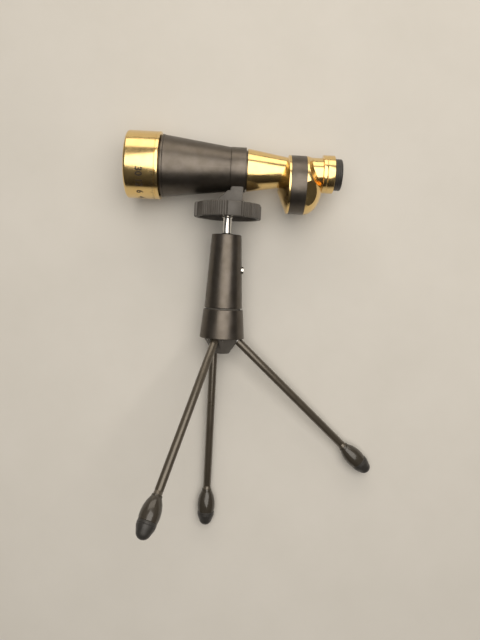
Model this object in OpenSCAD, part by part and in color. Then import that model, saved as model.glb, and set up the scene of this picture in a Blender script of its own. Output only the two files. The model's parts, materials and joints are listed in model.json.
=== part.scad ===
// Pocket spotting scope on a folding table tripod, lying on its side.
// Lengths are in millimetres and angles in degrees.
// Every piece is drawn upright: the column axis is Z, the optical axis is X,
// and the two cross at the drawing origin. laid_down() then lays each piece
// on the surface, where it rests on the wheel rim and two feet.

/* [Objective] */
// Radius of the objective glass
lens_r = 12.9; // [10:0.1:17]
// Thickness of the front (crown) glass at its centre
crown_t = 5; // [4:0.1:6]
// Thickness of the rear (flint) glass at its centre
flint_t = 2; // [1.5:0.1:3]
// Wall of the sliding objective cell
cell_wall = 0.95; // [0.7:0.05:1.5]
// Length of the objective cell's flange
cell_flange_len = 3; // [2:0.1:4]
// Wall of the barrel's nose, which the focusing ring turns on
nose_wall = 1.65; // [1.2:0.05:2.5]
// Wall of the focusing ring
ring_wall = 3.2; // [1.6:0.1:4]
// Length of the focusing ring
ring_len = 19; // [17:0.5:26]
// Depth of the recess for a lens cap in the focusing ring
cap_recess_depth = 4.5; // [3:0.1:5]
// Step between the focusing ring and the front of the barrel
ring_step = 1.6; // [0.3:0.1:2]
// Gap behind the focusing ring
ring_gap = 0.6; // [0.4:0.1:1.2]
// Length of the bright trim ring
trim_len = 1.4; // [1:0.1:3]
// Focusing travel of the objective cell, each way
focus_travel = 2; // [0.5:0.1:2.2]

/* [Barrel and tube] */
// Length of the conical barrel
barrel_len = 37.6; // [30:0.1:50]
// Radius of the barrel where it meets the mount collar
barrel_rear_r = 12.3; // [11.9:0.1:14]
// Distance of the mount collar behind the column axis
collar_offset = 0.6; // [0.2:0.1:1.5]
// Radius of the mount collar
collar_r = 12.5; // [12.2:0.1:16]
// Length of the mount collar
collar_len = 8.4; // [7.8:0.1:12]
// Radius of the barrel's spigot inside the mount collar
spigot_r = 10.9; // [10.4:0.1:11.5]
// Wall of the spigot
spigot_wall = 1.5; // [1:0.1:2]
// Width of the groove behind the mount collar
seam_w = 0.8; // [0.4:0.1:1.5]
// Front radius of the tapered tube
tube_front_r = 12; // [11:0.1:14]
// Rear radius of the tapered tube
tube_rear_r = 8.2; // [7.5:0.1:9]
// Length of the tapered tube
tube_len = 23.2; // [18:0.1:30]
// Wall of the tapered tube
tube_wall = 1.5; // [1:0.1:2]

/* [Prism housing] */
// Outer radius of the prism housing
drum_r = 16.4; // [15.5:0.1:20]
// Drop of the housing's centre below the optical axis
drum_drop = 6.9; // [6:0.1:9]
// Length of the black band
band_len = 8.6; // [7:0.1:12]
// Length of the housing's front cap
front_cap_len = 6.4; // [5:0.1:9]
// Width of the front cap's straight rim
rim_w = 1.2; // [0.8:0.1:2]
// Radius at the narrow end of the front cap
front_cap_r = 5; // [4:0.1:9]
// Length from the band to the eyepiece ring
rear_len = 9.6; // [8.5:0.1:13]
// Wall of the housing
housing_wall = 1.5; // [1:0.1:2]
// Half width of the prisms
prism_half_w = 6.5; // [5.5:0.1:7]
// Air gap between the two prisms
prism_gap = 0.6; // [0.4:0.1:1]

/* [Eyepiece] */
// Radius of the eyepiece lens tube
eye_tube_r = 6.45; // [6:0.05:6.6]
// Wall of the eyepiece lens tube
eye_tube_wall = 0.8; // [0.6:0.05:1.1]
// Wall of the housing's neck round the lens tube
neck_wall = 2.4; // [0.9:0.05:3]
// Radius of the eyepiece ring
eye_ring_r = 10.6; // [9.8:0.1:13]
// Length of the eyepiece ring
eye_ring_len = 6.4; // [6:0.1:8]
// Radius of the rubber eyecup
cup_r = 8.8; // [8.4:0.1:9.6]
// Length of the eyecup behind the eyepiece ring
cup_len = 4.5; // [4.2:0.1:7]

/* [Mount foot and lock wheel] */
// Height of the foot between the mount collar and the wheel
foot_h = 7; // [6:0.1:10]
// Width of the foot across the scope
foot_w = 14; // [11:0.5:18]
// Length of the foot's flat underside
foot_len = 15.7; // [14:0.1:20]
// Radius of the tripod thread
stud_r = 3.15; // [2.8:0.05:3.2]
// Radius of the lock wheel
wheel_r = 19.2; // [16:0.1:25]
// Height of the lock wheel
wheel_h = 8; // [6.5:0.1:12]
// Number of grip pads round the wheel
pad_count = 5; // [3:1:7]
// Angle that one grip pad covers
pad_angle = 47; // [30:1:50]
// Ribs on each grip pad
rib_count = 12; // [6:1:14]
// Depth of the ribs
rib_depth = 0.5; // [0.2:0.05:0.6]
// Depth of the smooth recesses between the pads
recess_depth = 1; // [0.5:0.1:2]

/* [Column] */
// Visible length of the polished stem
stem_len = 9.4; // [6:0.1:14]
// Radius of the polished stem
stem_r = 2.4; // [2:0.1:2.6]
// Radius of the ball
ball_r = 6.4; // [5.8:0.1:6.6]
// Depth of the ball's centre below the top of the sleeve
ball_depth = 5; // [4.6:0.1:5.6]
// Length of the clamp sleeve
sleeve_len = 42; // [36:0.5:60]
// Outer radius at the top of the sleeve
sleeve_top_r = 8.5; // [8.1:0.1:10]
// Outer radius at the bottom of the sleeve
sleeve_bottom_r = 10.9; // [9.5:0.1:13]
// Distance of the stop screw below the top of the sleeve
screw_drop = 20; // [18.5:0.5:28]
// Radius of the stop screw's head
screw_head_r = 2.25; // [1.8:0.05:2.4]
// Height that the stop screw's head stands proud
screw_proud = 1; // [0.6:0.1:2]

/* [Legs] */
// Upper radius of the leg collar
leg_collar_top_r = 11.4; // [10:0.1:14]
// Lower radius of the leg collar
leg_collar_bottom_r = 12.9; // [12.6:0.1:16]
// Length of the leg collar
leg_collar_len = 16.5; // [14:0.5:24]
// Height of the hub below the leg collar
hub_len = 9; // [6:0.1:12]
// Radius at the bottom of the hub
hub_tip_r = 4.6; // [4.3:0.1:7]
// Distance of the leg pivots from the column axis
pivot_r = 8; // [7.8:0.1:8.3]
// Radius of the leg rods
rod_r = 2.3; // [1.9:0.1:2.5]
// Length from a leg pivot to the top of its foot
rod_len = 92; // [60:1:120]
// Radius of the pivot pins
pin_r = 1.1; // [0.8:0.05:1.2]
// Half length of the pivot pins
pin_half_len = 5.2; // [4.4:0.1:5.6]
// Largest radius of a foot
foot_tip_r = 5.3; // [4:0.1:6]
// Length of a foot's tapered ferrule
ferrule_len = 13.6; // [10:0.1:18]
// Length of the straight part of a rubber tip
tip_len = 3.3; // [1.5:0.1:5]
// Opening angle of the right leg
right_splay = 47.6; // [0:0.1:50]
// Opening angle of the middle leg
middle_splay = 0; // [0:0.1:50]
// Opening angle of the left leg
left_splay = 37; // [0:0.1:50]

/* [Fits] */
// Radial clearance of a turning or sliding fit
running = 0.05; // [0.02:0.01:0.1]
// Clearance between parts that must not touch
apart = 0.4; // [0.3:0.05:0.6]

/* [Hidden] */
$fn = 72;
// Finer, for the shallow curves of the lenses
GLASS_FN = 360;
// Cuts run past the faces that they open by this much
past = 1;
// Small edge break on turned parts
edge = 0.4;

// Stations along the optical axis
collar_x0 = collar_offset;
collar_x1 = collar_x0 + collar_len;
tube_x0 = collar_x1 + seam_w;
tube_x1 = tube_x0 + tube_len;
band_x0 = tube_x1 + rim_w;
band_x1 = band_x0 + band_len;
front_cap_x0 = band_x0 - front_cap_len;
neck_x1 = band_x1 + rear_len;
eye_x1 = neck_x1 + eye_ring_len;
cup_x1 = eye_x1 + cup_len;
barrel_x0 = collar_x0 - barrel_len;
trim_x0 = barrel_x0 - trim_len;
ring_x1 = trim_x0 - ring_gap;
ring_x0 = ring_x1 - ring_len;

// Radii of the telescoping front end, from the glass outwards
skirt_r = lens_r + cell_wall;
nose_bore_r = skirt_r + running;
nose_r = nose_bore_r + nose_wall;
ring_bore_r = nose_r + running;
ring_r = ring_bore_r + ring_wall;
ring_bevel = 1.5;
cap_recess_r = ring_bore_r + 0.5;
barrel_front_r = ring_r - ring_step;
trim_r = barrel_front_r + 0.25;

// Objective cell, from its front face backwards
cell_x0 = ring_x0 + cap_recess_depth + focus_travel + running;
flange_x1 = cell_x0 + cell_flange_len;
crown_front_curve = 60;
crown_rear_curve = 45;
lens_x0 = cell_x0 + 0.6;
lens_joint = lens_x0 + crown_t;
flint_x1 = lens_joint + flint_t;
cell_lip_len = 2.9;
cell_lip_r = lens_r - 1;
cell_x1 = flint_x1 + cell_lip_len;
crown_edge_x0 = lens_x0 + sag(crown_front_curve, cell_lip_r);
nose_x0 = flange_x1 + focus_travel + apart;

// Barrel bore
skirt_bore_x1 = cell_x1 + focus_travel + apart;
spigot_bore_r = spigot_r - spigot_wall;
barrel_wall = 3.2;
baffle_x0 = collar_x0 - 14.6;
joint_len = 5;
joint_x0 = tube_x0 - joint_len;
baffle_x1 = joint_x0 - apart;
baffle_wall = 0.8;
baffle_lip_r = spigot_bore_r - 2.4;

// Stations of the eyepiece
eye_tube_x0 = neck_x1 - 4.2;
eye_tube_x1 = eye_x1 - apart;
eye_bore_r = eye_tube_r - eye_tube_wall;
eye_flange = 1.5;
cup_bore_r = eye_ring_r - 1.85;
cup_inner_r = eye_tube_r + 0.3;
neck_r = eye_tube_r + neck_wall;
stop_len = 1;
stop_r = eye_bore_r - 1.6;
field_t = 2.2;
eye_t = 2.6;
eye_curve = 14;
retainer_len = 1;
eye_lens_x1 = eye_tube_x1 - retainer_len - 0.3;
stop_x0 = eye_tube_x0 + field_t + 0.4;

// The rear dome ends this far round its ellipse, and this far short of the ring
dome_end = 63;
dome_step = 0.5;
dome_steps = 7;

// Prism block, inside the housing
prism_x0 = band_x0 + 0.4;
prism_x1 = eye_tube_x0 - 0.6;
prism_top = 5.2;
prism_bottom = -(drum_drop + 8.1);
prism_entry = -6.5;
roof_chamfer = 2.5;
frame_wall = 1.2;
frame_r = drum_r - housing_wall;
frame_screw_r = 0.8;
frame_screw_sink = 0.6;
frame_screw_bottom = -drum_drop - frame_r - frame_screw_sink;
frame_screw_len = prism_bottom - frame_screw_bottom;
frame_block_w = 2 * (prism_half_w + frame_wall);
frame_block_h = prism_top + drum_drop + drum_r;

// Stations down the column
foot_bottom = -(collar_r + foot_h);
bearing_gap = 0.1;
wheel_top = foot_bottom - bearing_gap;
wheel_bottom = wheel_top - wheel_h;
sleeve_top = wheel_bottom - stem_len;
ball_z = sleeve_top - ball_depth;
sleeve_bottom = sleeve_top - sleeve_len;
washer_t = 0.7;
leg_collar_top = sleeve_bottom - washer_t - bearing_gap;
leg_collar_bottom = leg_collar_top - leg_collar_len;
hub_bottom = leg_collar_bottom - hub_len;
pivot_drop = 0.3;
pivot_z = leg_collar_bottom - pivot_drop;

// Mount foot
foot_x0 = collar_x0 + 0.3;
foot_x1 = collar_x0 + 7.6;
foot_rise = collar_r * 0.75;
insert_r = stud_r + 0.75;
insert_len = 2.8;
stud_top = foot_bottom + 3.2;
stud_hole_top = foot_bottom + 3.7;

// Lock wheel
wheel_phase = -90 - pad_angle;
wheel_bevel = 0.6;
wheel_hollow_r = wheel_r - 3;
wheel_hollow_depth = 2.5;
nut_r = stud_r + 1.45;
nut_top = wheel_top - 0.5;
nut_bottom = wheel_bottom + wheel_hollow_depth;
crest_share = 0.55;
thread_bottom = wheel_bottom + 0.1;

// Ball joint: the seat stops short of the sleeve's top face
seat_r = ball_r + running;
seat_h = ball_depth - 0.6;
mouth_r = sqrt(pow(seat_r, 2) - pow(seat_h, 2));
mouth_flare = 0.6;
sleeve_bore_r = ball_r + 0.15;
core_r = sleeve_bore_r - running;
pad_r = sleeve_bore_r - 0.15;
pad_top = ball_z - 2;
pad_bottom = ball_z - 7.6;
spring_count = 4;
spring_pitch = 1;
spring_t = 0.5;
spring_hole_r = 3;
core_top = pad_bottom - spring_count * spring_pitch - 0.1;

// Stop screw and its slot in the core post
screw_z = sleeve_top - screw_drop;
screw_r = 1.2;
slot_depth = 2;
slot_margin = 14;
sleeve_turn = 90;
screw_tip_r = core_r - slot_depth + apart;
screw_seat_r = sleeve_r_at(screw_z);
recess_half_w = 0.5;

// Leg collar, hub and hinge slots
mouth_wall = 1.3;
leg_chamber_r = leg_collar_bottom_r - mouth_wall;
leg_chamber_top = leg_collar_bottom + 6;
hub_top_r = leg_chamber_r - 1;
slot_half_w = rod_r + 0.25;
slot_floor_r = pivot_r - rod_r - 0.4;
hub_screw_r = 1.9;
hub_screw_head_r = 3.2;
hub_screw_head_t = 2;
hub_screw_top = leg_chamber_top + 6;

// Feet, measured down the leg from its pivot
rod_end = rod_len + 8;
ankle_r = rod_r + 0.45;
ferrule_end = rod_len + ferrule_len;
tip_plug_r = foot_tip_r - 2;
tip_plug_len = 3.8;
tip_centre = ferrule_end + tip_len;

LEGS = ["right", "middle", "left"];
SPLAY = [right_splay, middle_splay, left_splay];
LEG_PITCH = 120;

// Depth of a sphere's cap at radius r
function sag(curve, r) = curve - sqrt(pow(curve, 2) - pow(r, 2));

// Outer radius of the sleeve at a height
function sleeve_r_at(z) =
  sleeve_top_r + (sleeve_bottom_r - sleeve_top_r) * (sleeve_top - z) / sleeve_len;

// Distance of a foot's centre from the column axis, and its height
function foot_reach(splay) = pivot_r + tip_centre * sin(splay);
function foot_height(splay) = pivot_z - tip_centre * cos(splay);

// Lean that sets the wheel rim and the middle foot on one plane
function lean_for(turn) =
  let (
    reach = foot_reach(middle_splay) * sin(turn + LEG_PITCH),
    run = wheel_bottom - foot_height(middle_splay),
    rise = wheel_r - reach
  )
  acos(foot_tip_r / norm([run, rise])) - atan2(run, rise);

// Turn of the tripod that sets the right foot on the same plane
function turn_for(lean) =
  let (
    far = foot_reach(right_splay),
    near = foot_reach(middle_splay),
    across = far - near * cos(LEG_PITCH),
    along = near * sin(LEG_PITCH),
    drop = (foot_height(right_splay) - foot_height(middle_splay)) * tan(lean)
  )
  asin(drop / norm([across, along])) + atan2(along, across);

// Both depend on each other, so they are worked out in turn
function settled(turn, steps) =
  steps == 0 ? turn : settled(turn_for(lean_for(turn)), steps - 1);
tripod_turn = settled(0, 6);
lean = lean_for(tripod_turn);

// Place of a foot's centre in the laid-down pose, before it is centred
function foot_place(i) =
  let (
    reach = foot_reach(SPLAY[i]),
    a = tripod_turn + i * LEG_PITCH
  )
  lay([reach * cos(a), reach * sin(a), foot_height(SPLAY[i])]);
function lay(p) = [
  p.x,
  p.y * sin(lean) + p.z * cos(lean),
  p.z * sin(lean) - p.y * cos(lean)
];
FEET = [for (i = [0 : 2]) foot_place(i)];
wheel_low = lay([0, wheel_r, wheel_bottom]);

// Middle of the box's underside
box_x0 = min(ring_x0, min([for (f = FEET) f.x]) - foot_tip_r);
box_x1 = max(cup_x1, max([for (f = FEET) f.x]) + foot_tip_r);
box_y0 = min([for (f = FEET) f.y]) - foot_tip_r;
box_y1 = ring_r;
box_z0 = min(wheel_low.z, -ring_r, min([for (f = FEET) f.z]) - foot_tip_r);
base = [(box_x0 + box_x1) / 2, (box_y0 + box_y1) / 2, box_z0];

// Lays the upright drawing down on the surface
module laid_down() {
  translate(-base)
    rotate([lean - 90, 0, 0])
      children();
}

// A body turned about the optical axis, from [radius, station] points
module turned(points) {
  rotate([0, 90, 0])
    rotate_extrude()
      polygon(points);
}

// A plain ring about the optical axis
module ring(x0, x1, r_out, r_in) {
  turned([[r_in, x0], [r_out, x0], [r_out, x1], [r_in, x1]]);
}

// A solid cone about the optical axis
module cone(x0, x1, r0, r1) {
  turned([[0, x0], [r0, x0], [r1, x1], [0, x1]]);
}

// Moves a body to the prism housing's own axis
module at_drum() {
  translate([0, 0, -drum_drop])
    children();
}

// A ball-shaped glass surface that bulges to the front
module ball_front(vertex, curve) {
  translate([vertex + curve, 0, 0])
    sphere(curve, $fn = GLASS_FN);
}

// A ball-shaped glass surface that bulges to the rear
module ball_rear(vertex, curve) {
  translate([vertex - curve, 0, 0])
    sphere(curve, $fn = GLASS_FN);
}

// A body turned about the column axis, from [radius, height] points
module column_turned(points) {
  rotate_extrude()
    polygon(points);
}

// Puts a leg's pieces on its pivot, pointing down when folded
module on_pivot(i) {
  rotate([0, 0, tripod_turn + i * LEG_PITCH])
    translate([pivot_r, 0, pivot_z])
      rotate([0, -SPLAY[i], 0])
        children();
}

module focus_ring() {
  color("goldenrod")
    laid_down()
      turned([
        [cap_recess_r, ring_x0],
        [ring_r - ring_bevel, ring_x0],
        [ring_r, ring_x0 + ring_bevel],
        [ring_r, ring_x1 - edge],
        [ring_r - edge, ring_x1],
        [ring_bore_r, ring_x1],
        [ring_bore_r, ring_x0 + cap_recess_depth],
        [cap_recess_r, ring_x0 + cap_recess_depth]
      ]);
}

module objective_cell() {
  color("#1e1e20")
    laid_down()
      turned([
        [lens_r, cell_x0],
        [nose_r, cell_x0],
        [nose_r, flange_x1],
        [skirt_r, flange_x1],
        [skirt_r, cell_x1],
        [cell_lip_r, cell_x1],
        [cell_lip_r, flint_x1],
        [lens_r, flint_x1]
      ]);
}

module crown_lens() {
  color("#a8c8d8")
    laid_down()
      intersection() {
        cone(lens_x0 - past, lens_joint + past, lens_r, lens_r);
        ball_front(lens_x0, crown_front_curve);
        ball_rear(lens_joint, crown_rear_curve);
      }
}

module flint_lens() {
  color("#98b8c8")
    laid_down()
      difference() {
        cone(lens_joint - sag(crown_rear_curve, lens_r), flint_x1, lens_r, lens_r);
        ball_rear(lens_joint, crown_rear_curve);
      }
}

module lens_retainer() {
  color("#28282a")
    laid_down()
      ring(cell_x0 + 0.1, crown_edge_x0, lens_r, cell_lip_r);
}

module trim_ring() {
  color("#3a3838")
    laid_down()
      ring(trim_x0, barrel_x0, trim_r, nose_r);
}

module barrel() {
  color("#2c2a2a")
    laid_down()
      turned([
        [nose_bore_r, nose_x0],
        [nose_r, nose_x0],
        [nose_r, barrel_x0],
        [barrel_front_r - edge, barrel_x0],
        [barrel_front_r, barrel_x0 + edge],
        [barrel_rear_r, collar_x0],
        [spigot_r, collar_x0],
        [spigot_r, tube_x0],
        [spigot_bore_r, tube_x0],
        [spigot_bore_r, baffle_x0],
        [barrel_front_r - barrel_wall, skirt_bore_x1],
        [nose_bore_r, skirt_bore_x1]
      ]);
}

module baffle_tube() {
  color("#101010")
    laid_down()
      turned([
        [baffle_lip_r, baffle_x0],
        [spigot_bore_r, baffle_x0],
        [spigot_bore_r, baffle_x1],
        [spigot_bore_r - baffle_wall, baffle_x1],
        [spigot_bore_r - baffle_wall, baffle_x0 + baffle_wall],
        [baffle_lip_r, baffle_x0 + baffle_wall]
      ]);
}

module mount_collar() {
  color("#333030")
    laid_down()
      turned([
        [spigot_r, collar_x0],
        [collar_r, collar_x0],
        [collar_r, collar_x1 - edge],
        [collar_r - edge, collar_x1],
        [spigot_r, collar_x1]
      ]);
}

module mount_foot() {
  color("#3a3a3c")
    laid_down()
      difference() {
        translate([0, foot_w / 2, 0])
          rotate([90, 0, 0])
            linear_extrude(foot_w)
              polygon([
                [foot_x0, -foot_rise],
                [foot_x1, -foot_rise],
                [foot_x1, foot_bottom],
                [foot_x1 - foot_len, foot_bottom],
                [foot_x0, -collar_r]
              ]);
        cone(collar_x0 - past, collar_x1 + past, collar_r, collar_r);
        translate([0, 0, foot_bottom - past])
          cylinder(h = insert_len + past, r = insert_r);
        translate([0, 0, foot_bottom])
          cylinder(h = stud_hole_top - foot_bottom, r = stud_r + running);
      }
}

module foot_insert() {
  color("#b58a3c")
    laid_down()
      column_turned([
        [stud_r + running, foot_bottom],
        [insert_r, foot_bottom],
        [insert_r, foot_bottom + insert_len],
        [stud_r + running, foot_bottom + insert_len]
      ]);
}

module tapered_tube() {
  color("goldenrod")
    laid_down()
      turned([
        [spigot_bore_r - tube_wall, joint_x0],
        [spigot_bore_r, joint_x0],
        [spigot_bore_r, tube_x0],
        [tube_front_r - edge, tube_x0],
        [tube_front_r, tube_x0 + edge],
        [tube_rear_r, tube_x1],
        [tube_rear_r - tube_wall, tube_x1],
        [spigot_bore_r - tube_wall, tube_x0]
      ]);
}

module prism_front_cap() {
  color("goldenrod")
    laid_down()
      difference() {
        at_drum()
          turned([
            [0, front_cap_x0],
            [front_cap_r, front_cap_x0],
            [drum_r, band_x0 - rim_w],
            [drum_r, band_x0],
            [drum_r - housing_wall, band_x0],
            [front_cap_r - housing_wall, front_cap_x0 + housing_wall],
            [0, front_cap_x0 + housing_wall]
          ]);
        cone(tube_x0 + edge, tube_x1, tube_front_r, tube_rear_r);
        cone(tube_x1 - past, band_x0 + past, tube_rear_r - tube_wall, tube_rear_r - tube_wall);
      }
}

module prism_band() {
  color("#2c2a2a")
    laid_down()
      difference() {
        at_drum()
          ring(band_x0, band_x1, drum_r, drum_r - housing_wall);
        at_frame_screws()
          cylinder(h = frame_screw_len, r = frame_screw_r);
      }
}

// Half of a dome's outline, as [radius, station] points on an ellipse
function dome_arc(r, len) =
  [for (k = [0 : dome_steps])
    let (a = k * dome_end / dome_steps)
    [r * cos(a), band_x1 + len * sin(a)]];

module prism_rear_cap() {
  dome_len = (rear_len - dome_step) / sin(dome_end);
  color("goldenrod")
    laid_down()
      difference() {
        union() {
          at_drum()
            turned(concat([[0, band_x1]], dome_arc(drum_r, dome_len),
                          [[0, band_x1 + dome_len * sin(dome_end)]]));
          cone(band_x1, neck_x1, neck_r, neck_r);
        }
        at_drum()
          turned(concat([[0, band_x1 - past], [drum_r - housing_wall, band_x1 - past]],
                        dome_arc(drum_r - housing_wall, dome_len - housing_wall),
                        [[0, band_x1 + (dome_len - housing_wall) * sin(dome_end)]]));
        cone(band_x1, neck_x1 + past, eye_tube_r, eye_tube_r);
      }
}

// A slab of glass between the frame's cheeks, from [x, z] points
module glass_slab(points) {
  translate([0, prism_half_w, 0])
    rotate([90, 0, 0])
      linear_extrude(2 * prism_half_w)
        polygon(points);
}

module half_prism() {
  color("#b8d4e0")
    laid_down()
      glass_slab([
        [prism_x0, prism_top],
        [prism_x0 + 3, prism_top],
        [prism_x0 + 6.5, prism_bottom],
        [prism_x0 + 3.5, prism_bottom],
        [prism_x0, prism_entry]
      ]);
}

module roof_prism() {
  color("#b8d4e0")
    laid_down()
      glass_slab([
        [prism_x0 + 3 + prism_gap, prism_top],
        [prism_x1 - roof_chamfer, prism_top],
        [prism_x1, prism_top - roof_chamfer],
        [prism_x1, prism_entry],
        [prism_x1 - 3.5, prism_bottom],
        [prism_x0 + 6.5 + prism_gap, prism_bottom]
      ]);
}

module prism_frame() {
  color("silver")
    laid_down()
      difference() {
        intersection() {
          at_drum()
            cone(band_x0, band_x1, frame_r, frame_r);
          translate([band_x0, -frame_block_w / 2, -drum_drop - drum_r])
            cube([band_len, frame_block_w, frame_block_h]);
        }
        translate([band_x0 - past, -prism_half_w, prism_bottom])
          cube([band_len + 2 * past, 2 * prism_half_w, prism_top - prism_bottom + past]);
        at_frame_screws()
          cylinder(h = frame_screw_len, r = frame_screw_r);
      }
}

// Places the two screws that hold the prism frame to the band
module at_frame_screws() {
  for (side = [-1, 1])
    translate([(band_x0 + band_x1) / 2, side * prism_half_w / 2, frame_screw_bottom])
      children();
}

module frame_screws() {
  color("#9a9a9a")
    laid_down()
      at_frame_screws()
        cylinder(h = frame_screw_len, r = frame_screw_r);
}

module eyepiece_tube() {
  color("#1c1c1c")
    laid_down()
      ring(eye_tube_x0, eye_tube_x1, eye_tube_r, eye_bore_r);
}

module eyepiece_ring() {
  color("goldenrod")
    laid_down()
      turned([
        [eye_tube_r, neck_x1],
        [eye_ring_r - edge, neck_x1],
        [eye_ring_r, neck_x1 + edge],
        [eye_ring_r, eye_x1 - edge],
        [eye_ring_r - edge, eye_x1],
        [cup_bore_r, eye_x1],
        [cup_bore_r, neck_x1 + eye_flange],
        [eye_tube_r, neck_x1 + eye_flange]
      ]);
}

module field_lens() {
  color("#a8c8d8")
    laid_down()
      intersection() {
        cone(eye_tube_x0, eye_tube_x0 + field_t, eye_bore_r, eye_bore_r);
        ball_front(eye_tube_x0, eye_curve);
      }
}

module field_stop() {
  color("#101010")
    laid_down()
      ring(stop_x0, stop_x0 + stop_len, eye_bore_r, stop_r);
}

module eye_lens() {
  color("#a8c8d8")
    laid_down()
      intersection() {
        cone(eye_lens_x1 - eye_t, eye_lens_x1, eye_bore_r, eye_bore_r);
        ball_front(eye_lens_x1 - eye_t, eye_curve);
        ball_rear(eye_lens_x1, 2 * eye_curve);
      }
}

module eye_retainer() {
  color("#202020")
    laid_down()
      ring(eye_lens_x1, eye_lens_x1 + retainer_len, eye_bore_r, eye_bore_r - 0.9);
}

module eyecup() {
  skirt_x0 = neck_x1 + eye_flange + apart;
  lip_x0 = eye_x1 + apart;
  color("#151515")
    laid_down()
      turned([
        [cup_inner_r, skirt_x0],
        [cup_bore_r - running, skirt_x0],
        [cup_bore_r - running, lip_x0],
        [cup_r, lip_x0],
        [cup_r, cup_x1 - 1],
        [cup_r - 1, cup_x1],
        [cup_inner_r + 0.6, cup_x1],
        [cup_inner_r, cup_x1 - 1.2]
      ]);
}

// One point on the wheel's outline
function polar(r, a) = [r * cos(a), r * sin(a)];

// One grip pad's ribs, then the smooth recess that follows it
function pad_outline(start) = concat(
  [for (k = [0 : rib_count - 1])
    let (
      pitch = pad_angle / rib_count,
      a = start + k * pitch,
      b = a + pitch * crest_share
    )
    each [polar(wheel_r, a), polar(wheel_r, b), polar(wheel_r - rib_depth, b + pitch * 0.12),
          polar(wheel_r - rib_depth, a + pitch * 0.88)]],
  [for (k = [0 : 4])
    polar(wheel_r - recess_depth, start + pad_angle + k * (360 / pad_count - pad_angle) / 4)]
);

module lock_wheel() {
  color("#3a3a3c")
    laid_down()
      difference() {
        intersection() {
          translate([0, 0, wheel_bottom])
            linear_extrude(wheel_h)
              polygon([for (k = [0 : pad_count - 1]) each pad_outline(wheel_phase + k * 360 / pad_count)]);
          column_turned([
            [0, wheel_bottom],
            [wheel_r - wheel_bevel, wheel_bottom],
            [wheel_r + edge, wheel_bottom + wheel_bevel + edge],
            [wheel_r + edge, wheel_top - wheel_bevel - edge],
            [wheel_r - wheel_bevel, wheel_top],
            [0, wheel_top]
          ]);
        }
        translate([0, 0, wheel_bottom - past])
          cylinder(h = wheel_hollow_depth + past, r = wheel_hollow_r);
        translate([0, 0, wheel_bottom - past])
          cylinder(h = nut_top - wheel_bottom + past, r = nut_r + running);
        translate([0, 0, wheel_bottom - past])
          cylinder(h = wheel_h + 2 * past, r = stud_r + apart);
      }
}

module wheel_insert() {
  color("#b58a3c")
    laid_down()
      column_turned([
        [stud_r + running, nut_bottom],
        [nut_r, nut_bottom],
        [nut_r, nut_top - running],
        [stud_r + running, nut_top - running]
      ]);
}

module ball_stud() {
  color("#c8c8cc")
    laid_down()
      union() {
        translate([0, 0, ball_z])
          sphere(ball_r);
        translate([0, 0, ball_z])
          cylinder(h = thread_bottom - ball_z, r = stem_r);
        translate([0, 0, thread_bottom])
          cylinder(h = stud_top - thread_bottom, r = stud_r);
      }
}

module ball_pad() {
  color("#d8d4c8")
    laid_down()
      difference() {
        translate([0, 0, pad_bottom])
          cylinder(h = pad_top - pad_bottom, r = pad_r);
        translate([0, 0, ball_z])
          sphere(seat_r);
      }
}

module disc_springs() {
  color("#8f9396")
    laid_down()
      for (k = [0 : spring_count - 1])
        let (
          z = core_top + k * spring_pitch,
          rise = k % 2 == 0 ? spring_pitch - spring_t : 0,
          fall = spring_pitch - spring_t - rise
        )
        column_turned([
          [spring_hole_r, z + rise],
          [pad_r - 0.3, z + fall],
          [pad_r - 0.3, z + fall + spring_t],
          [spring_hole_r, z + rise + spring_t]
        ]);
}

module clamp_sleeve() {
  color("#2c2a2a")
    laid_down()
      difference() {
        column_turned([
          [0, sleeve_bottom],
          [sleeve_bottom_r - edge, sleeve_bottom],
          [sleeve_bottom_r, sleeve_bottom + edge],
          [sleeve_top_r, sleeve_top - edge],
          [sleeve_top_r - edge, sleeve_top],
          [0, sleeve_top]
        ]);
        translate([0, 0, sleeve_bottom - past])
          cylinder(h = ball_z - sleeve_bottom + past, r = sleeve_bore_r);
        translate([0, 0, ball_z])
          sphere(seat_r);
        column_turned([
          [0, ball_z],
          [mouth_r, ball_z + seat_h],
          [mouth_r + mouth_flare, sleeve_top],
          [mouth_r + mouth_flare, sleeve_top + past],
          [0, sleeve_top + past]
        ]);
        translate([0, 0, screw_z])
          rotate([0, 90, 0])
            cylinder(h = sleeve_bottom_r + past, r = screw_r);
        translate([screw_seat_r - recess_half_w, 0, screw_z])
          rotate([0, 90, 0])
            cylinder(h = sleeve_bottom_r, r = screw_head_r);
      }
}

module stop_screw() {
  color("#b9bcc0")
    laid_down()
      translate([0, 0, screw_z])
        rotate([0, 90, 0]) {
          translate([0, 0, screw_tip_r])
            cylinder(h = screw_seat_r - screw_tip_r, r = screw_r);
          translate([0, 0, screw_seat_r - recess_half_w])
            cylinder(h = recess_half_w + screw_proud, r = screw_head_r);
        }
}

module core_post() {
  color("#55585a")
    laid_down()
      difference() {
        translate([0, 0, leg_chamber_top])
          cylinder(h = core_top - leg_chamber_top, r = core_r);
        rotate([0, 0, -slot_margin])
          rotate_extrude(angle = sleeve_turn + 2 * slot_margin)
            translate([core_r - slot_depth, screw_z - screw_r - running])
              square([slot_depth + past, 2 * (screw_r + running)]);
        translate([0, 0, leg_chamber_top - past])
          cylinder(h = hub_screw_top - leg_chamber_top + past, r = hub_screw_r);
      }
}

module thrust_washer() {
  color("#2e2e30")
    laid_down()
      column_turned([
        [core_r, leg_collar_top],
        [sleeve_bottom_r - 1, leg_collar_top],
        [sleeve_bottom_r - 1, leg_collar_top + washer_t],
        [core_r, leg_collar_top + washer_t]
      ]);
}

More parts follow.
